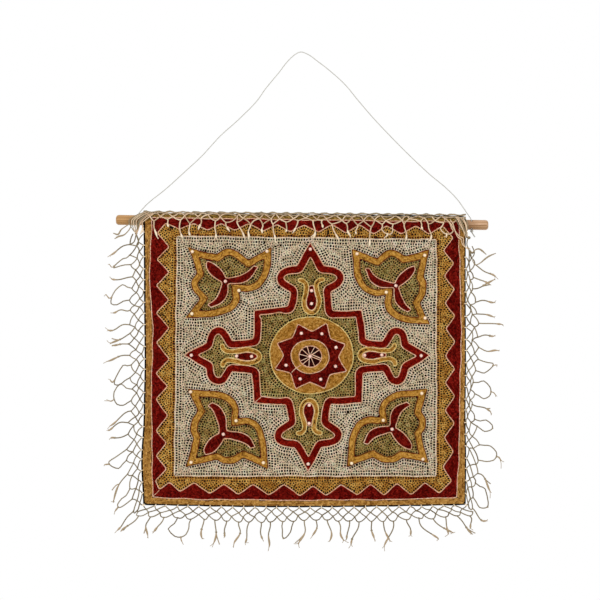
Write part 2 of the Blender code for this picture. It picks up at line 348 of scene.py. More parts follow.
THREADS = (
    # name, dark, middle and light, and the colours of its cool and warm flecks
    ("cream", "B4A386", "E7D7BA", "F7F2E3", ("E4ECE0", "F6E2DE")),
    ("olive", "6C5626", "A89158", "D8C48C", ("E4F0DE", "FAE0D0")),
    ("gold_soft", "804C19", "BD8837", "E3BD69"),
    ("gold", "714610", "B07C30", "D8AC5C"),
    ("gold_bright", "764B18", "BF8B36", "DFB25C"),
    ("gold_old", "72481A", "B2823D", "D5A961"),
    # the next gold is darkened as painted shade, for the edge band's rows under the net over the
    # rod
    ("gold_worn", "554015", "8B692B", "B19351"),
    ("red", "340200", "690904", "9A2419"),
    ("red_dark", "140202", "2C0806", "4A1210"),
    ("red_deep", "2F0200", "640904", "932418"),
    ("red_bright", "430200", "720902", "A32616"),
    ("outline", "C18E6D", "EAB897", "F4D6BF"),
    ("outline_field", "B49C83", "E6CFB6", "F5EADB"),
    ("outline_pale", "C4A558", "E6CF86", "F5E6B1"),
    ("outline_dark", "3A0904", "5F180B", "82301A"),
)


def cloth_finish(name):
    """The dark ground cloth: a plain weave, near black, with worn paler spots."""
    finish = Finish(name, 0.9, 0.05)
    warp, weft = finish.waves(260.0, 0.6, "X"), finish.waves(230.0, 0.6, "Z")
    weave = finish.math("MAXIMUM", warp, weft)
    patch = finish.noise(45.0, 4.0)
    base = finish.ramp(patch, ((0.3, "080604"), (0.6, "110C09"), (0.85, "231A14")))
    finish.colour(finish.mix(finish.weighed(weave, 0.2), base, "2E231B"))
    finish.bump(weave, 0.6, 0.0003)
    return finish.material


def wood_finish(name):
    """A plain pine dowel, its grain along the rod, rubbed darker in places."""
    finish = Finish(name, 0.5)
    along = finish.stretched((5.0, 150.0, 150.0))
    grain = finish.noise(2.4, 6.0, along)
    pores = finish.noise(9.0, 4.0, finish.stretched((9.0, 420.0, 420.0)))
    patch = finish.noise(16.0, 3.0)
    golden = finish.ramp(grain, ((0.25, "7E5A32"), (0.45, "B18550"), (0.6, "C79A62"),
                                 (0.8, "D9B280")))
    brown = finish.ramp(grain, ((0.3, "8E6844"), (0.45, "AF8860"), (0.6, "CBA482"),
                                (0.8, "DDBC9C")))
    along_rod = finish.node("ShaderNodeSeparateXYZ", {"Vector": finish.place}).outputs[0]
    worn_end = finish.ramp(along_rod, ((0.0, "000000"), (0.2, "FFFFFF")))
    wood = finish.mix(worn_end, golden, brown)
    rubbed = finish.mix(finish.ramp(patch, ((0.5, "000000"), (0.8, "FFFFFF"))), wood, "8A6038")
    finish.colour(finish.mix(finish.weighed(pores, 0.3), rubbed, "5B3718"))
    finish.bump(finish.math("ADD", grain, pores), 0.35, 0.0002)
    return finish.material


def string_finish(name, dark, middle, light, ply=900.0):
    """Twisted string: its ply shows as fine slanting bands."""
    finish = Finish(name, 0.9, 0.08)
    tint = finish.attribute("tint")
    patch = finish.noise(60.0, 3.0)
    share = finish.weighed(tint, 0.8, patch, 0.2)
    base = finish.ramp(share, ((0.2, dark), (0.5, middle), (0.85, light)))
    twist = finish.waves(ply, 2.0, "DIAGONAL")
    finish.colour(finish.mix(finish.weighed(twist, 0.18), base, dark))
    finish.bump(twist, 0.5, 0.0002)
    return finish.material


def pearl_finish(name):
    """Pale pink pearl beads: glossy, a little cloudy."""
    finish = Finish(name, 0.28, 0.6)
    cloud = finish.noise(420.0, 2.0)
    base = finish.ramp(cloud, ((0.3, "DEA492"), (0.55, "F0CABC"), (0.8, "FFEAE0")))
    finish.colour(finish.mix(finish.attribute("tint"), base, "F6E3B8"))
    finish.shader.inputs["Coat Weight"].default_value = 0.5
    finish.shader.inputs["Coat Roughness"].default_value = 0.12
    finish.bump(cloud, 0.1, 0.0001)
    return finish.material


FLOOR_GREYS = ((0.86, 0.86, 0.85, 1.0), (0.8342, 0.8342, 0.8245, 1.0))  # in linear light


def floor_finish(name):
    """A matt pale grey with a faint haze."""
    finish = Finish(name, 0.8)
    finish.colour(finish.mix(finish.noise(3.0, 2.0), *FLOOR_GREYS))
    return finish.material


# ---- meshes

def put(name, data):
    """An object in the picture."""
    made = bpy.data.objects.new(name, data)
    bpy.context.scene.collection.objects.link(made)
    return made


def add_mesh(name, vertices, faces, mat, slot, tint=None):
    """A piece from arrays: faces is a list of index arrays, each of triangles or of quads."""
    mesh = bpy.data.meshes.new(name)
    vertices = np.asarray(vertices, np.float32).reshape(-1, 3)
    mesh.vertices.add(len(vertices))
    mesh.vertices.foreach_set("co", vertices.ravel())
    corners = np.concatenate([np.asarray(f, np.int32).ravel() for f in faces])
    sizes = np.concatenate([np.full(len(f), np.shape(f)[1], np.int32) for f in faces])
    mesh.loops.add(len(corners))
    mesh.loops.foreach_set("vertex_index", corners)
    mesh.polygons.add(len(sizes))
    mesh.polygons.foreach_set("loop_start", np.concatenate([[0], np.cumsum(sizes)[:-1]]))
    mesh.update(calc_edges=True)
    mesh.validate()
    mesh.shade_smooth()
    shades = np.full(len(vertices), 0.5) if tint is None else np.asarray(tint)
    layer = mesh.attributes.new("tint", "FLOAT", "POINT")
    layer.data.foreach_set("value", shades.astype(np.float32))
    piece = put(name, mesh)
    mesh.materials.append(mat)
    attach(piece, "root")
    return piece


def tube(path, radii, sides):
    """A round strand along a path, closed at its ends: vertices and faces."""
    path = np.asarray(path, float)
    count = len(path)
    radii = np.broadcast_to(radii, (count,))
    tangents = np.gradient(path, axis=0)
    tangents /= np.linalg.norm(tangents, axis=1, keepdims=True) + 1e-12
    side = np.cross(tangents[0], (0.31, 0.87, 0.38))
    frames = np.empty((count, 2, 3))
    for i, tangent in enumerate(tangents):
        side = side - tangent * side.dot(tangent)
        side /= np.linalg.norm(side) + 1e-12
        frames[i] = side, np.cross(tangent, side)
    angle = 2 * np.pi * np.arange(sides) / sides
    ring = np.stack([np.cos(angle), np.sin(angle)], -1)
    wall = path[:, None] + np.einsum("kc,ncd->nkd", ring, frames) * radii[:, None, None]
    vertices = np.concatenate([wall.reshape(-1, 3), path[:1], path[-1:]])
    k = np.arange(sides)
    n = np.roll(k, -1)
    quads = np.concatenate([np.stack([k, n, n + sides, k + sides], -1) + i * sides
                            for i in range(count - 1)])
    last = (count - 1) * sides
    caps = np.concatenate([np.stack([n, k, np.full(sides, count * sides)], -1),
                           np.stack([k + last, n + last, np.full(sides, count * sides + 1)], -1)])
    return vertices, quads, caps


class Strands:
    """Many tubes and blobs gathered into one mesh."""

    def __init__(self):
        self.vertices, self.quads, self.triangles, self.tints = [], [], [], []
        self.count = 0

    def add(self, shape, tint):
        vertices, quads, triangles = shape
        self.vertices.append(vertices)
        self.quads.append(quads + self.count)
        self.triangles.append(triangles + self.count)
        self.tints.append(np.full(len(vertices), tint))
        self.count += len(vertices)

    def piece(self, name, mat, slot):
        faces = [np.concatenate(self.quads), np.concatenate(self.triangles)]
        return add_mesh(name, np.concatenate(self.vertices), faces, mat, slot,
                        np.concatenate(self.tints))


def blob(centre, radii, sides, rings):
    """A closed rounded lump, for knots and beads."""
    polar = np.pi * np.arange(1, rings) / rings
    angle = 2 * np.pi * np.arange(sides) / sides
    wall = np.stack([np.outer(np.sin(polar), np.cos(angle)),
                     np.outer(np.sin(polar), np.sin(angle)),
                     np.outer(np.cos(polar), np.ones(sides))], -1).reshape(-1, 3)
    vertices = np.concatenate([wall, [[0, 0, 1]], [[0, 0, -1]]]) * radii + centre
    k = np.arange(sides)
    n = np.roll(k, -1)
    quads = np.concatenate([np.stack([n, k, k + sides, n + sides], -1) + i * sides
                            for i in range(rings - 2)])
    last = (rings - 2) * sides
    top = len(wall)
    caps = np.concatenate([np.stack([k, n, np.full(sides, top)], -1),
                           np.stack([n + last, k + last, np.full(sides, top + 1)], -1)])
    return vertices, quads, caps


# ---- the design's outlines, in metres on the flat cloth

CURVE_STEPS = 6                        # from one mark of a drawn curve to the next
LINE = 1.2 * MM                        # width of an outline
BAND_INNER_LEFT = -0.1937              # where the outer gold band meets the red
BAND_INNER_RIGHT = 0.2048
BAND_INNER_RISE = 0.0034               # above the rod's axis, round the rod
BAND_INNER_BOTTOM = -0.5770
BAND_INNER_SAG = 0.0045                # in its middle, below its ends
BAND_WANDER = (
    # fall, left and right inner line, to the right of straight
    (0.00, -0.0003, 0.0000),
    (0.21, -0.0027, 0.0024),
    (0.40, 0.0008, 0.0030),
    (0.64, -0.0004, 0.0016),
    (0.83, 0.0000, -0.0002),
    (1.00, 0.0016, -0.0030),
)
FIELD_LEFT = -0.1612
FIELD_SLANT = 0.0038                   # the field's left edge drifts outwards going down
FIELD_RIGHT = 0.1762
FIELD_DROP = 0.0196                    # below the rod's axis
FIELD_BOTTOM = -0.5507
FIELD_LINE = 0.9 * MM                  # room for the line along the field's edge
ZIGZAG_CUT = 0.0016                    # how much of its corners is cut for thread to turn
STAR_CUT = 0.0014
EDGE_BARE = (0.0024, 0.0019, 0.0021)   # bare cloth left along the left, right and lower edge

# The zigzag: the tips along each side, how the side bows outwards, and the valleys' depth.
ZIGZAG_SIDES = (
    # side, tips, first tip x and s, last tip x and s, bow, valley depth at first and last
    ("top", 11, (-0.1755, -0.2215), (0.1838, -0.2258), 0.0000, 0.0080, 0.0113),
    ("right", 10, (0.1977, -0.2405), (0.1963, -0.5567), 0.0030, 0.0127, 0.0122),
    ("bottom", 10, (0.1787, -0.5729), (-0.1577, -0.5709), 0.0040, 0.0146, 0.0130),
    ("left", 10, (-0.1893, -0.5566), (-0.1870, -0.2349), 0.0000, 0.0146, 0.0168),
)
ZIGZAG_UNEVEN = {
    # how far each tip strays along its side, in mm
    "top": (0, 0.6, 0, -0.5, 0.4, 0, 0.7, 0, -0.6, 0.4, 0),
    "right": (0, -1.8, -3.8, -3.4, -5.7, -4.8, -4.8, -4.9, -3.4, 0),
    "bottom": (0, -1.4, -3.5, -6.4, -2.5, -6.8, -2.6, -1.3, -1.6, 0),
    "left": (0, -3.1, -6.1, -1.0, -3.3, 0.4, 3.6, 3.0, 2.2, 0),
}
ZIGZAG_INWARD = {"top": (0, -1), "right": (-1, 0), "bottom": (0, 1), "left": (1, 0)}
CORNER_LINES = (
    # short lines of outline thread, across the border's corner and the medallion's band
    ((-0.1922, -0.5766), (-0.1840, -0.5688)),
    ((-0.0607, -0.4552), (-0.0518, -0.4476)),
)
ZIGZAG_CORNER = ((-0.1712, -0.5580), (-0.1838, -0.5680))  # the odd step at the lower left

MEDALLION = (0.0093, -0.3951)
BLOCK = (0.0705, 0.0604)               # half width and half height at its corners
MEDALLION_BAND = 0.0103                # outer outline's edge to inner outline's edge
BAND_NARROWS = (0.0026, 0.0008)        # along the block's upper left side, its other level sides
NARROW_SPAN = (0.030, 0.068)           # where along those sides, from the medallion's middle
NARROW_EASE = 0.006                    # length over which it narrows
NARROW_NEAR = 0.012                    # how near to those sides
NARROW_FADE = 0.005                    # over which that nearness comes in
ARM_PROFILE = (
    # name, along and half width of an upright arm, of a level arm
    ("root", 0.0000, 0.0298, 0.0000, 0.0232),
    ("neck", 0.0120, 0.0279, 0.0130, 0.0212),
    ("neck corner", 0.0228, 0.0266, 0.0276, 0.0202),
    ("lobe under", 0.0282, 0.0350, 0.0316, 0.0272),
    ("lobe side", 0.0338, 0.0414, 0.0374, 0.0350),
    ("lobe widest", 0.0412, 0.0443, 0.0462, 0.0380),
    ("lobe over", 0.0502, 0.0410, 0.0554, 0.0346),
    ("lobe end", 0.0560, 0.0312, 0.0604, 0.0268),
    ("spear base", 0.0578, 0.0176, 0.0626, 0.0168),
    ("spear", 0.0726, 0.0094, 0.0762, 0.0092),
    ("tip", 0.0890, 0.0000, 0.0914, 0.0000),
)
ARM_CORNERS = ("root", "neck corner", "spear base", "tip")
ROOT_REACH = 0.012                     # how far up an arm its uneven root is felt
Arm = namedtuple("Arm", "direction shift lean stretch lyre_along lyre_across red_to beads roots")
ARMS = tuple(Arm(*row) for row in (
    # direction, shift across, lean, stretch, lyre's shift along and across, red up to, beads,
    # how far out from the block its two roots start, clockwise
    ((0, 1), 0.0028, 0.000, 1.000, 0.0000, 0.0016, 0.032, (0.0252, 0.0084, 0.0790),
     (0.0052, -0.0002)),
    ((1, 0), -0.0004, -0.010, 0.962, -0.0004, -0.0014, 0.032, (0.0262, 0.0030, 0.0792),
     (0.0048, 0.0014)),
    ((0, -1), -0.0004, 0.006, 1.006, -0.0006, -0.0010, 0.029, (0.0262, 0.0026, 0.0785),
     (0.0024, 0.0024)),
    ((-1, 0), 0.0002, 0.020, 1.000, -0.0034, 0.0000, 0.023, (0.0224, 0.0030, 0.0812),
     (0.0024, 0.0012)),
))
LYRE_PATH = (
    # along, half width of the lyre's line from an end to its closed foot
    (0.0392, 0.0148),
    (0.0383, 0.0104),
    (0.0334, 0.0064),
    (0.0236, 0.0074),
    (0.0125, 0.0102),
    (0.0040, 0.0088),
    (-0.0018, 0.0048),
    (-0.0034, 0.0000),
)
LYRE_HALF = 0.0032                     # half its width, outlines included
LYRE_END = 0.05                        # beads nearer than this along an arm lie in the lyre
LYRE_ROWS = (0.0015, 0.0028)
LYRE_LEVEL = (1.13, 0.84)              # a level arm's lyre is longer and narrower

ELLIPSE_SIDES = 72
DISC = (0.0136, -0.3932)
DISC_RADII = (0.0548, 0.0505)
STAR = (0.0130, -0.3947)
STAR_TIPS = (0.883, 0.928, 0.891, 0.872, 0.926, 0.915, 0.904, 0.936)
STAR_VALLEY = 0.645
STAR_POINTS = 8
STAR_TURN = -0.03                      # in eighths of a turn
RING = (0.0118, -0.3949)
RING_RADII = (0.0250, 0.0224)
WHEEL_RADII = (0.0146, 0.0138)
WHEEL_SPOKES = 11
STAR_BEAD_REACH = 0.635
STAR_BEADS_MISSING = (3,)
STRAY_THREAD = ((-0.0121, -0.4156), (-0.0073, -0.4108), (0.0003, -0.4060))

FLOWER_BAND = 0.0092
MITRE_LIMIT = 1.45                     # a band's sharp corner reaches no farther than this
# Marks of each flower, in mm from its middle bead, out to the side and out to the top or
# foot. The second half has its two numbers swapped: out to the top or foot, then the side.
# Its last marks are the bead of the tip and the end of the blade.
Marks = namedtuple("Marks", "corner near_dip hump far_dip tip notch bead blade_end")
Flower = namedtuple("Flower", "name x s side top corner_bead notch_bead widths one other")
FLOWERS = tuple(Flower(*row, Marks(*one), Marks(*other)) for *row, one, other in (
    # name, x, s, side and top signs, corner bead, notch bead,
    # widths of the leaf and the blades and of a blade's root, one half's marks, the other's
    ("upper_left", -0.0982, -0.2973, -1, 1, (43.0, 38.5), (-17.5, -12.0), (1.0, 1.0, 0.72),
     ((47.5, 43.0), (11.5, 35.0), (-6.0, 43.0), (-30.5, 28.0), (-58.5, 43.5), (-17.0, -13.0),
      (-54.0, 39.0), (-40.5, 20.0)),
     ((43.0, 47.5), (10.5, 37.0), (-3.0, 45.0), (-22.5, 33.5), (-46.5, 50.5), (-13.0, -17.0),
      (-42.0, 43.5), (-33.0, 21.5))),
    ("upper_right", 0.1232, -0.3030, 1, 1, (37.5, 39.5), (-12.5, -8.5), (1.0, 0.95, 0.64),
     ((42.5, 46.5), (11.0, 39.0), (-6.0, 46.5), (-25.5, 35.5), (-55.0, 46.5), (-14.0, -12.0),
      (-50.5, 41.5), (-38.0, 23.5)),
     ((46.5, 42.5), (11.0, 36.5), (-2.0, 40.0), (-22.5, 32.0), (-48.5, 43.0), (-12.0, -14.0),
      (-42.0, 38.0), (-32.5, 19.0))),
    ("lower_left", -0.1008, -0.4958, -1, -1, (42.0, 36.5), (-16.5, -17.5), (1.26, 1.12, 0.90),
     ((48.0, 42.0), (9.0, 34.0), (-5.0, 39.0), (-26.0, 31.0), (-56.0, 43.5), (-19.0, -21.0),
      (-52.0, 37.0), (-39.0, 19.0)),
     ((42.0, 48.0), (5.0, 39.0), (-8.0, 43.5), (-30.5, 33.0), (-57.0, 45.5), (-21.0, -19.0),
      (-55.0, 42.5), (-39.5, 17.5))),
    ("lower_right", 0.1183, -0.4893, 1, -1, (40.0, 39.0), (-11.5, -11.5), (1.08, 1.06, 0.74),
     ((46.0, 43.0), (13.0, 38.0), (-2.0, 44.5), (-25.0, 36.5), (-57.0, 47.5), (-16.0, -15.5),
      (-52.5, 44.5), (-34.5, 20.0)),
     ((43.0, 46.0), (6.0, 38.5), (-7.0, 44.0), (-23.0, 38.5), (-50.5, 44.0), (-15.5, -16.0),
      (-46.5, 38.5), (-33.5, 23.0))),
))
CORNER_EXTRA = (1.5, 1.5)              # drawn past its mark, in mm, as thread rounds a point
TIP_EXTRA = (-1.8, 1.8)
HUMP_NEAR_RISE = 1.7                   # in mm above the straight way from dip to hump
HUMP_FAR_RISE = 2.5
PETAL_BACK = ((0.03, 0.30), (0.06, 0.54), (0.17, 0.76), (0.37, 0.93), (0.70, 1.02))
LEAF_END = 25.2
LEAF_HALF = 0.0064
BLADE_CURVE = ((0.28, 0.06), (0.56, 0.175), (0.80, 0.46), (1.0, 1.0))
BLADE_HALF = 0.0052


def zigzag_outline():
    """The closed zigzag between the red border and the spotted gold one."""
    points = []
    for side, tips, first, last, bow, depth_first, depth_last in ZIGZAG_SIDES:
        first, last = np.array(first), np.array(last)
        inward = np.array(ZIGZAG_INWARD[side])
        strays = np.array(ZIGZAG_UNEVEN[side]) * MM / np.linalg.norm(last - first)
        shares = np.linspace(0, 1, tips) + strays
        for i, share in enumerate(shares):
            bowed = -inward * bow * math.sin(math.pi * share)
            points.append(first + (last - first) * share + bowed)
            if i < tips - 1:
                half = (share + shares[i + 1]) / 2
                depth = depth_first + (depth_last - depth_first) * half
                depth *= (shares[i + 1] - share) * (tips - 1) * 0.4 + 0.6
                points.append(first + (last - first) * half + inward * depth + bowed)
        if side == "bottom":
            points += [np.array(p) for p in ZIGZAG_CORNER]
    return soften(np.array(points), ZIGZAG_CUT)


def soften(points, cut):
    """Cuts each corner of a closed outline a little, so that it turns like thread."""
    before = np.roll(points, 1, axis=0) - points
    after = np.roll(points, -1, axis=0) - points
    for side in (before, after):
        side /= np.linalg.norm(side, axis=1, keepdims=True)
    middle = points + (before + after) * cut * 0.28
    return np.stack([points + before * cut, middle, points + after * cut], 1).reshape(-1, 2)


def runs_between_corners(points, corners):
    """A polyline through points, smooth except at the corners; the ends are corners."""
    outline, run = [], [points[0]]
    for point, corner in zip(points[1:], corners[1:]):
        run.append(point)
        if corner or point is points[-1]:
            smooth = smooth_through(run, CURVE_STEPS) if len(run) > 2 else np.array(run)
            outline.append(smooth[:-1])
            run = [point]
    return np.concatenate(outline + [np.array([points[-1]])])


def arm_frame(arm, aside=0.0):
    """A function from (along, side) of an arm, or of a line aside from it, to places."""
    direction = np.array(arm.direction, float)
    sideways = np.array([direction[1], -direction[0]])
    reach = BLOCK[0] if direction[0] else BLOCK[1]
    start = np.array(MEDALLION) + direction * reach + sideways * (arm.shift + aside)

    def place(along, side):
        along = np.asarray(along, float)[..., None] * arm.stretch
        side = np.asarray(side, float)[..., None] + along * arm.lean
        return start + along * direction + side * sideways
    return place


def medallion_outline():
    """Four arms with spear tips and side lobes on an oblong block, clockwise from the top."""
    outline = []
    for arm in ARMS:
        direction = np.array(arm.direction)
        level = 3 if direction[0] else 1
        place = arm_frame(arm)
        half = runs_between_corners([np.array(row[level:level + 2]) for row in ARM_PROFILE],
                                    [row[0] in ARM_CORNERS for row in ARM_PROFILE])
        rooted = 1 - ease(half[:, 0] / ROOT_REACH)
        rising = place(half[:, 0] + arm.roots[0] * rooted, -half[:, 1])
        falling = place(half[:, 0] + arm.roots[1] * rooted, half[:, 1])[::-1]
        outline += [rising, falling[1:]]
        sideways = np.array([direction[1], -direction[0]])
        corner = np.array(MEDALLION) + (direction + sideways) * BLOCK
        outline.append(corner[None])
    return np.concatenate(outline)


def lyre_line(arm):
    """The middle line of the lyre inside an arm."""
    place = arm_frame(arm, arm.lyre_across)
    half = smooth_through(LYRE_PATH, CURVE_STEPS)
    if arm.direction[0]:
        half = half * LYRE_LEVEL
    half = half + (arm.lyre_along, 0.0)
    return np.concatenate([place(half[:, 0], -half[:, 1]),
                           place(half[::-1, 0], half[::-1, 1])[1:]])


def lyre_drop(arm, lyre):
    """Depth in the red inside a lyre: from its foot part way up."""
    end = arm_frame(arm)(arm.red_to, 0.0)
    below = (end[0] - DRAWN_X) * arm.direction[0] + (end[1] - DRAWN_S) * arm.direction[1]
    return both(depth_in(lyre_line(arm)), -lyre, below)


def ellipse(centre, radii):
    angle = 2 * np.pi * np.arange(ELLIPSE_SIDES) / ELLIPSE_SIDES
    return np.stack([centre[0] + radii[0] * np.cos(angle),
                     centre[1] + radii[1] * np.sin(angle)], -1)


def star_place(turn, reach):
    """A place in the star: turn in eighths from its first tip, reach in disc radii."""
    angle = 2 * np.pi * (np.asarray(turn) + 0.5 + STAR_TURN) / STAR_POINTS
    return np.stack([STAR[0] + DISC_RADII[0] * reach * np.cos(angle),
                     STAR[1] + DISC_RADII[1] * reach * np.sin(angle)], -1)


def star_outline():
    turns = np.arange(2 * STAR_POINTS) / 2
    reach = np.where(turns % 1 == 0, np.repeat(STAR_TIPS, 2), STAR_VALLEY)
    return soften(star_place(turns, reach), STAR_CUT)


def flower_place(flower):
    """A function from a flower's own (side, top), in mm, to places on the cloth."""
    def place(points):
        points = np.asarray(points, float) * MM
        return np.stack([flower.x + flower.side * points[..., 0],
                         flower.s + flower.top * points[..., 1]], -1)
    return place


def petal_half(marks):
    """Half a flower's outline through its marks, from the corner to the notch."""
    corner, near_dip, hump, far_dip, tip, notch = (np.array(mark) for mark in marks[:6])
    corner = corner + CORNER_EXTRA
    tip = tip + TIP_EXTRA
    points = [corner, (corner + near_dip) / 2 - (0.0, 0.7), near_dip,
              (near_dip + hump) / 2 + (0.0, HUMP_NEAR_RISE), hump,
              (hump + far_dip) / 2 + (0.0, HUMP_FAR_RISE), far_dip, tip]
    points += [tip + (notch - tip) * share for share in PETAL_BACK] + [notch]
    corners = [any(point is mark for mark in (corner, near_dip, far_dip, tip, notch))
               for point in points]
    return runs_between_corners(points, corners)


def flower_outline(flower):
    """A flower with three pointed petals and a notch, about its diagonal."""
    one, other = petal_half(flower.one), petal_half(flower.other)[::-1, ::-1]
    meet = (one[-1] + other[0]) / 2
    top = (one[0] + other[-1]) / 2
    return np.concatenate([[top], one[1:-1], [meet], other[1:-1]])


def flower_dips(flower):
    """The places where the outline turns inwards, in the flower's own mm."""
    one, other = flower.one, flower.other
    dips = [one.near_dip, one.far_dip, other.near_dip[::-1], other.far_dip[::-1]]
    notch = (np.array(one.notch) + other.notch[::-1]) / 2
    return [np.array(dip) for dip in dips] + [notch]


def mitre(outline, corner, band):
    """The sharp corner that a band has inside an inward turn of its outline."""
    index = int(np.argmin(np.linalg.norm(outline - corner, axis=1)))
    corner = outline[index]
    before = corner - outline[index - 1]
    after = outline[(index + 1) % len(outline)] - corner
    following = np.roll(outline, -1, axis=0)
    area = np.sum(outline[:, 0] * following[:, 1] - following[:, 0] * outline[:, 1])
    normals = []
    for way in (before, after):
        way = way / np.linalg.norm(way) * np.sign(area)
        normals.append(np.array([-way[1], way[0]]))
    sharp = (normals[0] + normals[1]) / (1 + normals[0] @ normals[1])
    reach = np.linalg.norm(sharp)
    sharp = sharp / reach * min(reach, MITRE_LIMIT)
    return np.array([corner, corner + normals[0] * band, corner + sharp * band,
                     corner + normals[1] * band])


def blade_outline(path, half_width, blunt, end):
    """A slender leaf along a path: widest past its middle, its ends blunt by a share."""
    line = smooth_through(path, CURVE_STEPS)
    share = np.linspace(0, 1, len(line))
    width = half_width * np.sin(np.pi * (0.10 + 0.88 * share) ** 1.15) ** 0.6
    width = np.maximum(width, half_width * (blunt * (1 - share) + end * share))
    heading = np.gradient(line, axis=0)
    heading /= np.linalg.norm(heading, axis=1, keepdims=True)
    normal = np.stack([-heading[:, 1], heading[:, 0]], -1)
    return np.concatenate([line + normal * width[:, None],
                           (line - normal * width[:, None])[::-1][1:]])


def flower_blades(flower):
    """The leaf towards the corner and the two curved blades, from the middle bead."""
    leaf_width, blade_width, root = flower.widths
    leaf = np.array(((0, 0), (0.5, 0.5), (1, 1))) * LEAF_END
    curve = np.array([(0, 0), *BLADE_CURVE])
    one, other = curve * flower.one.blade_end, curve * flower.other.blade_end
    half_width = blade_width * BLADE_HALF / MM
    return (blade_outline(leaf, leaf_width * LEAF_HALF / MM, 0.3, 0.15),
            blade_outline(one, half_width, root, 0.55),
            blade_outline(other[:, ::-1], half_width, root, 0.55))


# ---- fields: how deep each place of the flat cloth lies inside each shape

CELL = 0.7 * MM                        # of the grid over the flat cloth
MARGIN = 0.045                         # farther than this from a shape, depth isn't needed
SMALL_MARGIN = 0.03                    # the same for a part of a flower
GRID_X = np.arange(CLOTH_LEFT - 0.006, CLOTH_RIGHT + 0.006, CELL)
GRID_S = np.arange(CLOTH_BOTTOM - 0.006, -0.198, CELL)
FLAT_X, FLAT_S = np.meshgrid(GRID_X, GRID_S)


SIDEWAYS_DRIFT = (
    # waves of the drawn lines: size in mm, radians a metre across and up, start
    (0.35, 95, 41, 0.0),
    (0.30, 0, 148, 1.1),
    (0.20, 233, -190, 0.0),
)
UPWARD_DRIFT = (
    (0.35, -52, 88, 2.0),
    (0.30, 139, 0, 0.4),
    (0.20, 171, 251, 0.0),
)


def hand_drift(waves):
    """How far the drawn design wanders, as lines drawn by hand do."""
    return MM * sum(size * np.sin(FLAT_X * across_rate + FLAT_S * up_rate + start)
                    for size, across_rate, up_rate, start in waves)


DRAWN_X = FLAT_X + hand_drift(SIDEWAYS_DRIFT)
DRAWN_S = FLAT_S + hand_drift(UPWARD_DRIFT)


def window(points, margin):
    """The part of the grid within a margin of some points."""
    low = points.min(0) - margin
    high = points.max(0) + margin
    i0, i1 = np.searchsorted(GRID_X, (low[0], high[0]))
    j0, j1 = np.searchsorted(GRID_S, (low[1], high[1]))
    return slice(j0, j1), slice(i0, i1)


def distance_to_line(px, ps, points, closed):
    """Distance from places to a polyline, and which places lie inside a closed one."""
    ends = np.roll(points, -1, axis=0) if closed else points[1:]
    nearest = np.full(px.shape, 1e3)
    inside = np.zeros(px.shape, bool)
    for (ax, ay), (bx, by) in zip(points, ends):
        ex, ey = bx - ax, by - ay
        length = ex * ex + ey * ey
        if length < 1e-16:
            continue
        wx, wy = px - ax, ps - ay
        t = np.clip((wx * ex + wy * ey) / length, 0, 1)
        nearest = np.minimum(nearest, (wx - t * ex) ** 2 + (wy - t * ey) ** 2)
        if ay != by:
            crosses = (ay > ps) != (by > ps)
            inside ^= crosses & (px < ex * (ps - ay) / ey + ax)
    return np.sqrt(nearest), inside


def depth_in(points, margin=MARGIN):
    """Depth inside a closed outline, negative outside it."""
    field = np.full(FLAT_X.shape, -MARGIN)
    part = window(points, margin)
    distance, inside = distance_to_line(DRAWN_X[part], DRAWN_S[part], points, True)
    field[part] = np.where(inside, distance, -distance)
    return field


def depth_in_stroke(line, half_width):
    """Depth inside a stroke drawn along a line."""
    field = np.full(FLAT_X.shape, -MARGIN)
    part = window(line, MARGIN)
    distance, _ = distance_to_line(DRAWN_X[part], DRAWN_S[part], line, False)
    field[part] = half_width - distance
    return field


def both(*fields):
    """Inside all the shapes."""
    return np.minimum.reduce(fields)


def any_of(*fields):
    """Inside at least one of the shapes."""
    return np.maximum.reduce(fields)


def cloth_depth():
    """Depth inside the worked front, from its three bare edges and the rod's top."""
    drop = rod_height(FLAT_X) - FLAT_S
    u = across(FLAT_X)
    fall = np.clip(drop / cloth_fall(u), 0, 1)
    left_bare, right_bare, lower_bare = EDGE_BARE
    return both(FLAT_X - CLOTH_LEFT - edge_wander(fall, 1) - left_bare,
                CLOTH_RIGHT + edge_wander(fall, 2) - FLAT_X - right_bare,
                FLAT_S - hem_height(u) - lower_bare, drop + WRAP_TOP)


def oblong_depth(left, right, drop_top, bottom, sag=0.0):
    """Depth inside an oblong whose top runs along the rod and whose foot may sag."""
    drop = rod_height(DRAWN_X) - DRAWN_S
    foot = bottom - sag * np.sin(np.pi * across(DRAWN_X)) ** 0.6
    return both(DRAWN_X - left, right - DRAWN_X, drop - drop_top, DRAWN_S - foot)


def medallion_band():
    """Width of the medallion's band, which narrows along the block's level sides."""
    from_side = np.abs(np.abs(DRAWN_S - MEDALLION[1]) - BLOCK[1])
    aside = np.abs(DRAWN_X - MEDALLION[0])
    inner_end, outer_end = NARROW_SPAN
    narrow = ease((NARROW_NEAR - from_side) / NARROW_FADE)
    narrow = narrow * ease((aside - inner_end) / NARROW_EASE)
    upper_left = (DRAWN_X < MEDALLION[0]) & (DRAWN_S > MEDALLION[1])
    by = np.where(upper_left, *BAND_NARROWS)
    return MEDALLION_BAND - by * narrow * ease((outer_end - aside) / NARROW_EASE)


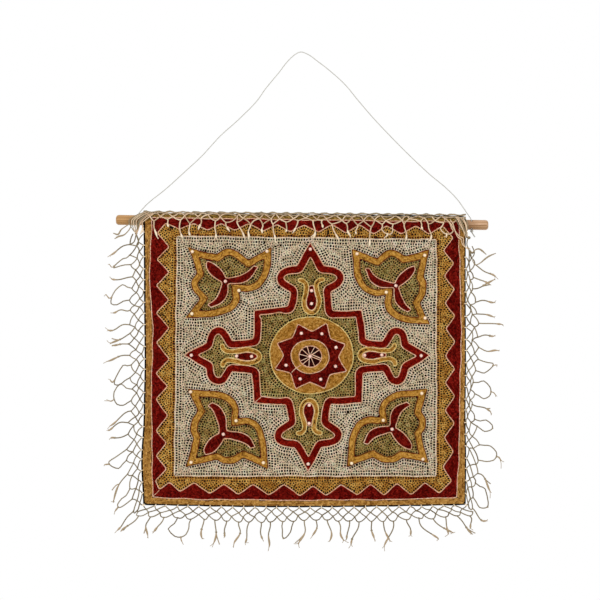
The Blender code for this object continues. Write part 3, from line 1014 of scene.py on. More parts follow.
def draw_design():
    """Depth fields of every zone of the embroidery, by name."""
    cloth = cloth_depth()
    fallen = (rod_height(DRAWN_X) - DRAWN_S) / -(CLOTH_BOTTOM + ROD_DROP)
    band_inner = oblong_depth(BAND_INNER_LEFT + wander(BAND_WANDER, fallen, 1),
                              BAND_INNER_RIGHT + wander(BAND_WANDER, fallen, 2),
                              -BAND_INNER_RISE, BAND_INNER_BOTTOM, BAND_INNER_SAG)
    zigzag = depth_in(zigzag_outline())
    field = oblong_depth(FIELD_LEFT - FIELD_SLANT * fallen, FIELD_RIGHT, FIELD_DROP, FIELD_BOTTOM)
    medallion = depth_in(medallion_outline())
    medallion_inner = medallion - medallion_band()
    disc = depth_in(ellipse(DISC, DISC_RADII))
    star = depth_in(star_outline())
    ring = depth_in(ellipse(RING, RING_RADII))
    wheel = depth_in(ellipse(RING, WHEEL_RADII))
    lyre = any_of(*(depth_in_stroke(lyre_line(arm), LYRE_HALF) for arm in ARMS))
    drop = any_of(*(lyre_drop(arm, lyre) for arm in ARMS))
    flowers, blades, mitres = [], [], []
    for flower in FLOWERS:
        place = flower_place(flower)
        outline = place(flower_outline(flower))
        flowers.append(depth_in(outline))
        blades += [depth_in(place(blade), SMALL_MARGIN) for blade in flower_blades(flower)]
        mitres += [depth_in(mitre(outline, place(dip), FLOWER_BAND), SMALL_MARGIN)
                   for dip in flower_dips(flower)]
    flower = any_of(*flowers)
    flower_inner = both(flower - FLOWER_BAND, -any_of(*mitres))
    blade = any_of(*blades)
    return {
        "cloth": cloth,
        "below_rod": rod_height(DRAWN_X) - DRAWN_S,
        "band_inner": band_inner,
        "border_red": both(band_inner, -zigzag),
        "zigzag": zigzag,
        "zigzag_gold": both(zigzag, -field),
        "field": field,
        "field_cream": both(field - FIELD_LINE, -medallion, -flower),
        "medallion": medallion,
        "medallion_inner": medallion_inner,
        "medallion_band": both(medallion, -medallion_inner),
        "medallion_olive": both(medallion_inner, -lyre, -drop, -disc),
        "lyre": lyre,
        "drop_red": drop,
        "disc": disc,
        "disc_gold": both(disc, -star),
        "star": star,
        "star_red": both(star, -ring),
        "ring": ring,
        "ring_gold": both(ring, -wheel),
        "wheel": wheel,
        "flower": flower,
        "flower_inner": flower_inner,
        "flower_band": both(flower, -flower_inner),
        "flower_olive": both(flower_inner, -blade),
        "blade": both(blade, flower_inner),
    }


# ---- rows: lines of equal depth, walked in stitch lengths

UNEVEN = 0.06                          # spread of a stitch's end, in stitch lengths
ROW_PACE = (0.94, 1.06)                # how far a row's stitch length is from the usual
EVENINGS = 3                           # times that a traced line is smoothed
LATEST = 400                           # added stitches among which a new one looks for room


def trace(field, level):
    """The lines where a field crosses a level, as lists of places, and if each is closed."""
    above = field > level
    ids = np.full((2,) + field.shape, -1)
    j, i = np.nonzero(above[:, :-1] != above[:, 1:])
    t = (level - field[j, i]) / (field[j, i + 1] - field[j, i])
    level_places = np.stack([i + t, j], -1)
    ids[0, j, i] = np.arange(len(j))
    j, i = np.nonzero(above[:-1] != above[1:])
    t = (level - field[j, i]) / (field[j + 1, i] - field[j, i])
    places = np.concatenate([level_places, np.stack([i, j + t], -1)])
    ids[1, j, i] = len(level_places) + np.arange(len(j))
    around = np.stack([ids[0, :-1, :-1], ids[1, :-1, :-1], ids[0, 1:, :-1], ids[1, :-1, 1:]], -1)
    around = around[(around >= 0).any(-1)]
    links = [[] for _ in places]
    for cell in around:
        found = [e for e in cell if e >= 0]
        for a, b in zip(found[::2], found[1::2]):
            links[a].append(b)
            links[b].append(a)
    seen = np.zeros(len(places), bool)
    lines = []
    starts = [e for e in range(len(places)) if len(links[e]) == 1]
    for start in starts + list(range(len(places))):
        if seen[start]:
            continue
        line, here = [], start
        while here is not None:
            seen[here] = True
            line.append(here)
            here = next((e for e in links[here] if not seen[e]), None)
        closed = len(line) > 3 and line[0] in links[line[-1]] and len(links[start]) == 2
        lines.append((places[line] * CELL + (GRID_X[0], GRID_S[0]), closed))
    return lines


def even_out(line, closed):
    """Smooths a traced line a little."""
    for _ in range(EVENINGS):
        if closed:
            line = (np.roll(line, 1, 0) + 2 * line + np.roll(line, -1, 0)) / 4
        else:
            line = np.concatenate([line[:1], (line[:-2] + 2 * line[1:-1] + line[2:]) / 4,
                                   line[-1:]])
    return line


def walk(line, closed, step):
    """Places along a line a stitch apart."""
    if closed:
        line = np.concatenate([line, line[:1]])
    run = np.concatenate([[0], np.cumsum(np.linalg.norm(np.diff(line, axis=0), axis=1))])
    count = max(int(round(run[-1] / step)), 1)
    at = np.linspace(0, run[-1], count + 1)
    at[1:-1] += RNG.normal(0, UNEVEN * step, max(count - 1, 0))
    return np.stack([np.interp(at, run, line[:, 0]), np.interp(at, run, line[:, 1])], -1)


def rows_at(field, levels, step, shortest=2.0):
    """Starts and ends of the stitches of the rows at some depths."""
    starts, ends = [], []
    for level in levels:
        for line, closed in trace(field, level):
            if len(line) < 5:
                continue
            if closed:
                line = np.roll(line, RNG.integers(len(line)), axis=0)
            spots = walk(even_out(line, closed), closed, step * RNG.uniform(*ROW_PACE))
            length = np.linalg.norm(np.diff(spots, axis=0), axis=1).sum()
            if length < shortest * step:
                continue
            starts.append(spots[:-1])
            ends.append(spots[1:])
    if not starts:
        return np.zeros((0, 2)), np.zeros((0, 2))
    return np.concatenate(starts), np.concatenate(ends)


def filled_rows(field, first, spacing, step):
    """Rows that echo a zone's outline inwards until it is full."""
    return rows_at(field, np.arange(first, field.max(), spacing), step)


def look_up(field, places):
    """A field's values at places, from the nearest grid cell."""
    i = np.clip(np.round((places[:, 0] - GRID_X[0]) / CELL).astype(int), 0, len(GRID_X) - 1)
    j = np.clip(np.round((places[:, 1] - GRID_S[0]) / CELL).astype(int), 0, len(GRID_S) - 1)
    return field[j, i]


def patch_gaps(field, starts, ends, reach, step, inset):
    """Adds single stitches where rows meet and leave a place farther than reach from any."""
    middles = (starts + ends) / 2
    tree = kdtree.KDTree(len(middles))
    for index, (x, s) in enumerate(middles):
        tree.insert((x, s, 0), index)
    tree.balance()
    grow_s, grow_x = np.gradient(field, CELL)
    added = []
    for j, i in zip(*np.nonzero(field > inset)):
        place = np.array([GRID_X[i], GRID_S[j]])
        if tree.find((*place, 0))[2] < reach:
            continue
        if any((place[0] - a) ** 2 + (place[1] - b) ** 2 < reach ** 2
               for (a, b), _ in added[-LATEST:]):
            continue
        along = np.array([-grow_s[j, i], grow_x[j, i]])
        size = np.linalg.norm(along)
        along = along / size if size > 1e-6 else np.array([1.0, 0.0])
        added.append((tuple(place), along * step / 2))
    if not added:
        return starts, ends
    middle = np.array([a for a, _ in added])
    half = np.array([h for _, h in added])
    return np.concatenate([starts, middle - half]), np.concatenate([ends, middle + half])


# ---- stitches

ROW = 1.78 * MM                        # between dense rows
DENSE_STEP = 2.7 * MM                  # length of a dense row's stitch
OPEN_ROW = 3.90 * MM                   # between open chain rows
OPEN_STEP = 3.3 * MM                   # length of an open row's stitch
OUTLINE_STEP = 2.1 * MM
STRAND_ARC = np.radians((-30, 90, 210))  # a strand's section: its back, on the cloth, is open

LOOP_HALF = 1.60 * MM                  # from an open loop's middle to its strand's
LOOP_STRAND_HALF = 0.345 * MM
LOOP_STRAND_RISE = 0.30 * MM
LOOP_LINE = (
    # round an open loop from its foot: share of the stitch, side, height in mm, thickness
    (-0.02, 0, 0.36, 1.5),
    (0.15, 1, 0.46, 1.0),
    (0.85, 1, 0.52, 1.0),
    (1.06, 0, 0.66, 1.6),
    (0.85, -1, 0.52, 1.0),
    (0.15, -1, 0.46, 1.0),
)
FUZZ_RISE = 0.30 * MM
OPEN_PATCH_REACH = 2.55 * MM
OPEN_PATCH_INSET = 1.1 * MM            # how deep in its zone an added stitch lies at least
DENSE_PATCH_REACH = 1.35 * MM
DENSE_PATCH_INSET = LINE / 2 + 0.4 * MM


def thread_slot(thread):
    """The slot name of a thread: gold_old is a thread_gold."""
    return "thread_" + thread.split("_")[0]


def strand_walls(line, closed, half_width, half_height):
    """A strand's walls for a stitch template.

    Each point of the line is (along in stitch lengths, across in metres, height in metres).
    """
    line = np.asarray(line, float)
    count = len(line)
    if closed:
        heading = np.roll(line, -1, 0) - np.roll(line, 1, 0)
    else:
        heading = np.gradient(line, axis=0)
    heading = heading[:, :2] * (OPEN_STEP, 1.0)
    heading /= np.linalg.norm(heading, axis=1, keepdims=True)
    normal = np.stack([-heading[:, 1], heading[:, 0]], -1)
    half_width = np.broadcast_to(half_width, (count,))
    vertices = []
    for k in range(count):
        for angle in STRAND_ARC:
            out = math.cos(angle) * half_width[k]
            vertices.append((line[k, 0] + normal[k, 0] * out / OPEN_STEP,
                             line[k, 1] + normal[k, 1] * out,
                             line[k, 2] + math.sin(angle) * half_height))
    faces = []
    for k in range(count if closed else count - 1):
        here, after = k * 3, (k + 1) % count * 3
        for a in (0, 1):
            faces.append((here + a + 1, after + a + 1, after + a, here + a))
    return vertices, faces


def loop_template():
    """An open chain stitch: a thread loop, its round end held by the next one."""
    along, side, height, width = np.array(LOOP_LINE).T
    line = np.stack([along, side * LOOP_HALF, height * MM], -1)
    vertices, faces = strand_walls(line, True, width * LOOP_STRAND_HALF, LOOP_STRAND_RISE)
    # the fuzz of the strands, which closes the gaps between the rows
    base = len(vertices)
    vertices += [(a, o, FUZZ_RISE) for a, o, _ in line]
    edge, rise = OPEN_ROW * 0.53, 0.25 * MM
    vertices += [(a, o, rise) for a, o in ((-0.04, edge), (1.04, edge), (1.04, -edge),
                                           (-0.04, -edge))]
    quads = [(1, 2, 7, 6), (4, 5, 9, 8)]
    triangles = [(0, 1, 6), (2, 3, 7), (3, 4, 8), (5, 0, 9)]
    faces = np.concatenate([faces, base + np.array(quads)])
    return np.array(vertices), [faces, base + np.array(triangles)]


def grain_template(grains):
    """Plump strands, each (from, to, half width, height): three-sided, drawn to points."""
    vertices, quads, triangles = [], [], []
    for start, end, half_width, rise in grains:
        start, end = np.array(start), np.array(end)
        line = [start + (end - start) * t for t in (0.24, 0.76)]
        base = len(vertices)
        wall_places, walls = strand_walls(line, False, half_width, rise * 0.62)
        vertices += [tuple(v) for v in wall_places]
        vertices += [tuple(start - (0, 0, rise * 0.2)), tuple(end - (0, 0, rise * 0.2))]
        quads += [tuple(base + v for v in f) for f in walls]
        for a in (0, 1):
            triangles.append((base + 6, base + a + 1, base + a))
            triangles.append((base + 3 + a, base + 4 + a, base + 7))
    return np.array(vertices), [np.array(quads), np.array(triangles)]


def chain_grains(half_row, rise):
    """A closed chain stitch: two strands in a narrow V on their own fuzz."""
    side = half_row * 0.5
    vertices, faces = grain_template([
        ((-0.1, -0.2 * half_row, rise * 0.5), (1.22, -side, rise * 0.6), half_row * 0.56, rise),
        ((-0.1, 0.2 * half_row, rise * 0.5), (1.22, side, rise * 0.6), half_row * 0.56, rise)])
    base = len(vertices)
    bed = [(-0.1, -half_row, rise * 0.35), (1.1, -half_row, rise * 0.35),
           (1.1, half_row, rise * 0.35), (-0.1, half_row, rise * 0.35)]
    quads = np.concatenate([faces[0], [[base, base + 1, base + 2, base + 3]]])
    return np.concatenate([vertices, bed]), [quads, faces[1]]


def twist_grain(half_row, rise):
    """One slanting strand, as in a corded outline."""
    return grain_template([((-0.28, -0.42 * half_row, rise * 0.5),
                            (1.28, 0.42 * half_row, rise * 0.55), half_row * 0.86, rise)])


def place_stitches(name, starts, ends, template, threads, thread, jitter, lift=BASE_FRONT,
                   side=1.0, split=1):
    """Lays a template along each stitch, jitter mm out of place, and bends it onto the cloth."""
    vertices, faces = template
    faces = faces if side > 0 else [f[:, ::-1] for f in faces]
    heading = ends - starts
    length = np.linalg.norm(heading, axis=1)
    keep = length > 0.4 * MM
    starts, heading, length = starts[keep], heading[keep], length[keep]
    count = len(starts)
    heading = heading / length[:, None]
    normal = np.stack([-heading[:, 1], heading[:, 0]], -1)
    shake = RNG.normal(0, jitter * MM, (count, 2))
    wide = RNG.normal(1, 0.07, count)
    tall = RNG.normal(1, 0.08, count)
    along = vertices[None, :, 0] * length[:, None]
    out = vertices[None, :, 1] * wide[:, None]
    high = vertices[None, :, 2] * tall[:, None]
    places = (starts[:, None] + shake[:, None] + along[..., None] * heading[:, None]
              + out[..., None] * normal[:, None])
    points = on_cloth(places[..., 0], places[..., 1], lift + side * high)
    tint = np.clip(RNG.normal(0.5, 0.27, count), 0, 1)
    made = []
    for share in range(split):
        chosen = slice(count * share // split, count * (share + 1) // split)
        part = points[chosen]
        shift = (np.arange(len(part)) * len(vertices))[:, None, None]
        indexed = [(f[None] + shift).reshape(-1, f.shape[1]) for f in faces]
        label = name if split == 1 else f"{name}_{share + 1}"
        made.append(add_mesh(label, part.reshape(-1, 3), indexed, threads[thread],
                             thread_slot(thread), np.repeat(tint[chosen], len(vertices))))
    return made


EDGE_BAND_DEEPEST = 0.0105             # from the bare edge
EDGE_BAND_GAP = LINE / 2 + 0.3 * MM    # from the band's inner line to its last row


def work_open_zones(zones, threads):
    """Open chain stitches: the cream field, olive grounds and spotted gold zigzag."""
    plans = (
        # piece, zone, first row from the outline in mm, share worn away, thread, parts
        ("field_stitches", "field_cream", 2.00, 0.015, "cream", 2),
        ("medallion_ground", "medallion_olive", 1.95, 0.03, "olive", 1),
        ("flower_ground", "flower_olive", 1.95, 0.03, "olive", 1),
        ("zigzag_stitches", "zigzag_gold", 2.00, 0.06, "gold_soft", 1),
    )
    made = []
    for name, zone, first, worn, thread, parts in plans:
        field = zones[zone]
        starts, ends = filled_rows(field, first * MM, OPEN_ROW, OPEN_STEP)
        starts, ends = patch_gaps(field, starts, ends, OPEN_PATCH_REACH, OPEN_STEP,
                                  OPEN_PATCH_INSET)
        whole = RNG.random(len(starts)) > worn
        made += place_stitches(name, starts[whole], ends[whole], loop_template(), threads,
                               thread, 0.16, split=parts)
    return made


def work_dense_zones(zones, threads):
    """Closed chain stitches in tight rows: the red and plain gold zones."""
    template = chain_grains(ROW / 2 * 1.12, 1.05 * MM)
    fills = (
        # piece, zone, thread
        ("flower_bands", "flower_band", "gold_bright"),
        ("border_red", "border_red", "red"),
        ("medallion_band", "medallion_band", "red_bright"),
        ("drops", "drop_red", "red_deep"),
        ("disc_gold", "disc_gold", "gold"),
        ("star_red", "star_red", "red_deep"),
        ("ring_gold", "ring_gold", "gold"),
        ("blades", "blade", "red_deep"),
        ("wheel_ground", "wheel", "red_dark"),
    )

    def lay(name, starts, ends, thread):
        return place_stitches(name, starts, ends, template, threads, thread, 0.07)

    starts, ends = edge_band_rows(zones)
    over_rod = look_up(zones["below_rod"], (starts + ends) / 2) < 0.0
    made = lay("edge_band", starts[~over_rod], ends[~over_rod], "gold_old")
    # the rows over the rod get a darker gold thread: painted shade of the net over the rod's top
    made += lay("edge_band_over_rod", starts[over_rod], ends[over_rod], "gold_worn")
    for name, zone, thread in fills:
        field = zones[zone]
        starts, ends = filled_rows(field, LINE / 2 + ROW / 2, ROW, DENSE_STEP)
        starts, ends = patch_gaps(field, starts, ends, DENSE_PATCH_REACH, DENSE_STEP,
                                  DENSE_PATCH_INSET)
        made += lay(name, starts, ends, thread)
    return made + lay("lyres", *rows_at(zones["lyre"], LYRE_ROWS, DENSE_STEP), "gold")


def edge_band_rows(zones):
    """Rows of the outer gold band, from the bare edge in to the red."""
    depths = np.arange(ROW / 2, EDGE_BAND_DEEPEST, ROW)
    starts, ends = rows_at(zones["cloth"], depths, DENSE_STEP)
    keep = look_up(-zones["band_inner"], (starts + ends) / 2) > EDGE_BAND_GAP
    return starts[keep], ends[keep]


def work_outlines(zones, threads):
    """Corded lines between the zones."""
    fine, stout = twist_grain(0.80 * MM, 1.5 * MM), twist_grain(0.94 * MM, 1.7 * MM)
    half = LINE / 2
    plans = (
        # piece, fields and depths, thread
        ("border_outlines", (("band_inner", 0.0), ("zigzag", 0.0)), "outline"),
        ("field_outline", (("field", FIELD_LINE / 2),), "outline_field"),
        ("medallion_outlines", (("medallion", half), ("medallion_inner", -half)), "outline"),
        ("lyre_outlines", (("lyre", half),), "outline_pale"),
        ("disc_outlines", (("disc", half),), "outline_pale"),
        ("star_outline", (("star", 0.0), ("ring", half), ("wheel", 0.0)), "outline"),
        ("drop_outlines", (("drop_red", 0.0),), "outline"),
        ("flower_outlines", (("flower", half), ("flower_inner", -half)), "outline_dark"),
        ("blade_outlines", (("blade", 0.0),), "outline"),
    )
    made = []
    for name, lines, thread in plans:
        found = [rows_at(zones[zone], [depth], OUTLINE_STEP, 3.0) for zone, depth in lines]
        if name == "border_outlines":
            for line in CORNER_LINES:
                spots = np.linspace(*line, 7)
                found.append((spots[:-1], spots[1:]))
        starts = np.concatenate([f[0] for f in found])
        ends = np.concatenate([f[1] for f in found])
        made += place_stitches(name, starts, ends, stout if thread == "outline_dark" else fine,
                               threads, thread, 0.05)
    return made


def running_stitches(field, depths, step, share, half_width, height, rise):
    """Starts, ends and template of a running stitch that covers a share of each step."""
    starts, ends = rows_at(field, depths, step)
    strand = ((0.0, 0.0, height), (1.0, 0.0, height), half_width, rise)
    return starts, starts + (ends - starts) * share, grain_template([strand])


def work_dashes(zones, threads):
    """The brown running stitch just outside the field."""
    stitches = running_stitches(zones["field"], [-2.2 * MM], 4.4 * MM, 0.55, 0.72 * MM,
                                0.9 * MM, 1.3 * MM)
    return place_stitches("field_dashes", *stitches, threads, "outline_dark", 0.1)


def work_back(zones, threads):
    """The reverse: running stitches behind the rows, in their threads."""
    dense = 2 * ROW
    plans = (
        # piece, zone, first depth in mm, deepest, between rows, thread
        ("back_cream", "field_cream", 1.6, MARGIN, OPEN_ROW, "cream"),
        ("back_olive", "medallion_olive", 1.8, MARGIN, OPEN_ROW, "olive"),
        ("back_flowers", "flower_olive", 1.9, MARGIN, OPEN_ROW, "olive"),
        ("back_zigzag", "zigzag_gold", 1.9, MARGIN, OPEN_ROW, "gold_soft"),
        ("back_red", "border_red", 2.0, MARGIN, dense, "red"),
        ("back_band", "medallion", 2.0, MEDALLION_BAND, dense, "red_bright"),
        ("back_gold", "flower", 2.0, FLOWER_BAND, dense, "gold"),
        ("back_disc", "disc_gold", 2.0, MARGIN, dense, "gold"),
        ("back_star", "star_red", 2.0, MARGIN, dense, "red"),
    )
    made = []
    for name, zone, first, deepest, spacing, thread in plans:
        field = np.where(zones["below_rod"] > FLAP_LENGTH + 1 * MM, zones[zone], -MARGIN)
        depths = np.arange(first * MM, min(deepest, field.max()), spacing)
        stitches = running_stitches(field, depths, 4.6 * MM, 0.8, 0.5 * MM, 0.18 * MM,
                                    0.42 * MM)
        made += place_stitches(name, *stitches, threads, thread, 0.15, lift=BASE_BACK,
                               side=-1.0)
    return made


# ---- beads and the wheel

BEAD_RADIUS = 2.15 * MM
BEAD_LIFT = 1.9 * MM
# Threads laid on the cloth, as (share of the way, lift in mm).
BEAD_THREAD = ((-1.0, 0.2), (-0.72, 1.3), (0.0, 1.6), (0.72, 1.3), (1.0, 0.2))
SPOKE_LINE = ((0.1, 1.5), (0.4, 1.55), (0.75, 1.5), (0.98, 1.1))
SEAM_LINE = ((0, -0.1), (0.25, 0.3), (0.75, 0.3), (1, -0.1))


def bead_places():
    """Each bead's place on the flat cloth and how yellow it is."""
    places = []
    for arm in ARMS:
        for along in arm.beads:
            place = arm_frame(arm, arm.lyre_across if along < LYRE_END else 0.0)
            places.append((place(along, 0.0), 0.1))
    for turn in range(STAR_POINTS):
        if turn not in STAR_BEADS_MISSING:
            places.append((star_place(turn, STAR_BEAD_REACH), 0.0))
    places.append((np.array(RING), 0.0))
    for flower in FLOWERS:
        place = flower_place(flower)
        for spot in (flower.corner_bead, flower.notch_bead, flower.one.bead,
                     flower.other.bead[::-1]):
            places.append((place(spot), 0.9))
        places.append((place((0.0, 0.0)), 0.0))
    return places


def bead_shape(centre, tilt):
    """A pearl with its threading hole along the cloth, drawn in at both ends."""
    vertices, quads, caps = blob(np.zeros(3), np.full(3, BEAD_RADIUS), 12, 9)
    pole = np.abs(vertices[:, 2]) > 0.99 * BEAD_RADIUS
    vertices[pole, 2] *= 0.72
    vertices *= (1.0, 0.94, 0.97)
    c, s = math.cos(tilt), math.sin(tilt)
    turned = np.stack([vertices[:, 0] * c + vertices[:, 2] * s, vertices[:, 1],
                       -vertices[:, 0] * s + vertices[:, 2] * c], -1)
    return turned + centre, quads, caps


def sew_beads(mat, thread):
    """The beads, each with its thread over it into the cloth."""
    beads, ties = Strands(), Strands()
    for spot, shade in bead_places():
        tilt = RNG.uniform(0, np.pi)
        centre = on_cloth(*spot, BEAD_LIFT)
        beads.add(bead_shape(centre, tilt), shade * RNG.uniform(0.6, 1.0))
        reach = BEAD_RADIUS * 1.3
        side = np.array([math.sin(tilt), math.cos(tilt)])
        path = [on_cloth(*(spot + side * reach * share), lift * MM)
                for share, lift in BEAD_THREAD]
        ties.add(tube(path, 0.28 * MM, 5), 0.6)
    return [beads.piece("beads", mat, "bead_pearl"),
            ties.piece("bead_threads", thread, "thread_cream")]


def work_wheel(threads):
    """The wheel in the star's middle: uneven spokes, and a stray thread beside it."""
    spokes = Strands()
    for spoke in range(WHEEL_SPOKES):
        angle = 2 * np.pi * (spoke + 0.1) / WHEEL_SPOKES + RNG.normal(0, 0.09)
        way = np.array([math.cos(angle), math.sin(angle)])
        reach = np.array(WHEEL_RADII) * way
        hub = np.array(RING) + np.array([-way[1], way[0]]) * RNG.normal(0, 0.9 * MM)
        path = [on_cloth(*(hub + (RING + reach - hub) * share), BASE_FRONT + lift * MM)
                for share, lift in SPOKE_LINE]
        spokes.add(tube(path, RNG.uniform(0.36, 0.58) * MM, 6), RNG.uniform(0.3, 0.9))
    path = [on_cloth(*spot, lift * MM) for spot, lift in zip(STRAY_THREAD, (0.9, 1.25, 1.0))]
    spokes.add(tube(smooth_through(path, 4), 0.42 * MM, 5), 0.5)
    return [spokes.piece("wheel_spokes", threads["outline"], "thread_outline")]


# ---- the base cloth

CLOTH_COLUMNS = 96
CLOTH_ROWS = 92
WRAP_ROWS = 22
FLAP_ROWS = 9


def cloth_stations():
    """Sections of the cloth: a function and its value, from the hem round to the flap."""
    rows = [("front", (1 - row / CLOTH_ROWS) ** 1.2) for row in range(CLOTH_ROWS)]
    rows += [("wrap", math.pi * step / WRAP_ROWS) for step in range(WRAP_ROWS + 1)]
    rows += [("flap", FLAP_LENGTH * (row + 1) / FLAP_ROWS) for row in range(FLAP_ROWS)]
    return rows


def cloth_side(lift):
    """A grid of places on one face of the cloth, a lift from its middle surface."""
    u = np.linspace(0, 1, CLOTH_COLUMNS + 1)
    straight = CLOTH_LEFT + u * CLOTH_WIDTH
    lines = []
    for kind, value in cloth_stations():
        if kind == "front":
            left = CLOTH_LEFT + edge_wander(value, 1)
            right = CLOTH_RIGHT + edge_wander(value, 2)
            x = left + u * (right - left)
            fray = 0.25 * MM * np.sin(37 * u * CLOTH_COLUMNS) * (value == 1)
            lines.append(on_cloth(x, rod_height(straight) - value * cloth_fall(u) + fray, lift))
        elif kind == "wrap":
            radius = WRAP_RADIUS + lift
            lines.append(np.stack([straight, -radius * np.cos(value) * np.ones_like(u),
                                   rod_height(straight) + radius * np.sin(value)], -1))
        else:
            lines.append(on_flap(straight, value, lift))
    return np.stack(lines)


def make_base_cloth(mat):
    """The dark ground cloth, over the rod and turned down behind it."""
    front, back = cloth_side(BASE_FRONT), cloth_side(BASE_BACK)
    rows, width = front.shape[:2]
    index = np.arange(rows * width).reshape(rows, width)
    quads = np.stack([index[:-1, :-1], index[:-1, 1:], index[1:, 1:], index[1:, :-1]],
                     -1).reshape(-1, 4)
    total = rows * width
    rim = np.concatenate([index[0], index[1:, -1], index[-1, -2::-1], index[-2:0:-1, 0]])
    after = np.roll(rim, -1)
    walls = np.stack([after, rim, rim + total, after + total], -1)
    vertices = np.concatenate([front.reshape(-1, 3), back.reshape(-1, 3)])
    faces = [quads, quads[:, ::-1] + total, walls]
    cloth = add_mesh("base_cloth", vertices, faces, mat, "base_cloth")
    cloth.data.set_sharp_from_angle(angle=math.radians(50))
    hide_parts("panel")
    return cloth


def sew_flap(thread):
    """A running stitch that holds the turned-down part behind the rod."""
    seam = Strands()
    drop = FLAP_LENGTH - 4 * MM
    for x in np.arange(CLOTH_LEFT + 3 * MM, CLOTH_RIGHT - 6 * MM, 6.4 * MM):
        length = 3.8 * MM + RNG.uniform(-0.4, 0.4) * MM
        path = [on_flap(x + length * share, drop, BASE_FRONT + lift * MM)
                for share, lift in SEAM_LINE]
        seam.add(tube(path, 0.4 * MM, 5), RNG.uniform(0.3, 0.7))
    return seam.piece("flap_seam", thread, "cord_string")


# ---- the net fringe

STRING_RADIUS = 0.80 * MM
KNOT_RADIUS = 1.08 * MM
FRAY_RADII = np.array([0.8, 1.1, 1.4, 1.4, 1.0, 0.4]) * MM
BUNCH_END_RADII = np.array([0.7, 0.7, 0.75, 1.1, 1.2, 0.5]) * MM

TRAIL_STEPS = 9                        # places from an end's knot to its tip
CURL_TURNS = (4.0, 7.0)                # of a hanging end, in radians
CURL_WIDTH = (0.030, 0.075)            # and the rest in lengths of the end
END_SWAY = 0.20
END_REACH = (0.90, 1.05)
SPLIT_ENDS = 0.35                      # share of the loose ends that part in two
KNOTTED_ENDS = 0.40                    # that have a knot of their own
TIED_ON_ENDS = 0.70                    # share of the tied pairs that go on past their knot

ROLL_RADIUS = 1.25 * MM
ROLL_RISE = 1.4 * MM

NET_SHAPES = {
    # name: rows of knots, unevenness, share of depth per row, swag of the last row, tied pairs
    "left": (3, 0.09, (0.0, 0.32, 0.62, 1.0), 0.06, 0.30),
    "right": (3, 0.12, (0.0, 0.30, 0.62, 1.0), 0.06, 0.40),
    "bottom": (3, 0.06, (0.0, 0.34, 0.64, 1.0), 0.12, 0.22),
    "top": (2, 0.15, (0.0, 0.42, 0.74), 0.02, 0.12),
}
DEPTH_DRIFT = {"left": 0.12, "right": 0.28, "bottom": 0.08, "top": 0.15}

BINDING_LOOP = (
    # a stitch round the cloth's edge, in mm: along it, out from it, forward
    (0.0, -2.4, 1.1),
    (0.0, 0.0, 1.8),
    (0.3, 0.9, 0.0),
    (0.0, 0.0, -1.9),
    (0.0, -2.4, -1.6),
)
HEADING_STRINGS = (
    # in mm from the net's edge: out, stand-off, how much a wave lifts it; the wave's start, tint
    (-2.0, 1.2, 0.9, 1.1, 0.55),
    (-0.6, 0.9, 0.6, 0.4, 0.8),
    (2.6, 0.3, 0.0, 2.3, 0.9),
)
HEADING_WAVE = 1.7 * MM                # how far its strings wander up and down the rod
HEADING_STEP = 3.4 * MM                # between the places they are drawn through

# Strings of the side nets bunched at the cloth's top corners. Lines of them are (x, z) places.
BUNCH_BACK_Y = -0.0030                 # where a bunch's strings cross the rod's top
BUNCH_TOP_RISE = 0.0098                # above the rod's axis there
BUNCH_STRING = 0.62 * MM
BUNCH_JOG = 0.8 * MM
LEFT_STRINGS = 10
LEFT_TOPS = (CLOTH_LEFT + 0.001, 0.013, 1.0 * MM)      # x: the first's, spread, unevenness
LEFT_FRONTS = (CLOTH_LEFT - 0.0185, 0.0185, 1.1 * MM)
LEFT_GATHER = (-0.2140, -0.2350)
LEFT_GATHER_Y = -0.0045
LEFT_TAILS = (
    ((-0.2215, -0.2222), (-0.2275, -0.2261), (-0.2334, -0.2304), (-0.2373, -0.2365),
     (-0.2438, -0.2348)),
    ((-0.2200, -0.2240), (-0.2230, -0.2306), (-0.2295, -0.2371), (-0.2366, -0.2391),
     (-0.2418, -0.2423)),
)
LEFT_TAILS_Y = -0.0080
LEFT_LINK_DROPS = (0.0, 0.0028, 0.0055)  # of the strings from the bunch to each row's first knot
RIGHT_STRINGS = 7
RIGHT_TOPS = (0.1985, 0.0130, 0.9 * MM)
RIGHT_FRONTS = (0.2058, 0.0100, 0.8 * MM)
RIGHT_GATHER = (0.2152, -0.2397)
RIGHT_GATHER_Y = -0.0075
RIGHT_KNOT = (0.2178, -0.0070, -0.2408)
RIGHT_FORWARD = (-0.0112, -0.0065)     # y of its strings in front of the cloth and beside it
RIGHT_STRAND = (
    (0.1905, -0.2188), (0.1950, -0.2241), (0.1996, -0.2319), (0.2048, -0.2388),
    (0.2100, -0.2414), (0.2110, -0.2475), (0.2129, -0.2527), (0.2178, -0.2564),
)
RIGHT_FALL = ((0.2178, -0.2408), (0.2158, -0.2440), (0.2153, -0.2505), (0.2180, -0.2560))
RIGHT_TAILS_Y = -0.0060
RIGHT_TAILS = (
    ((0.2190, -0.2566), (0.2223, -0.2599), (0.2262, -0.2564), (0.2308, -0.2553),
     (0.2353, -0.2579), (0.2405, -0.2627)),
    ((0.2225, -0.2700), (0.2262, -0.2759), (0.2327, -0.2735), (0.2379, -0.2690),
     (0.2444, -0.2644), (0.2529, -0.2609)),
)


def crossing(strings, share):
    """Where one of a bunch's strings crosses the rod, a share of the way through the bunch."""
    first, width, uneven = strings
    return first + width * share + RNG.normal(0, uneven)


def corner_turn(distance):
    """How far a fringe's strings turn towards the corner at a distance from it."""
    return math.radians(45) * float(ease(1 - distance / CORNER_TURN))


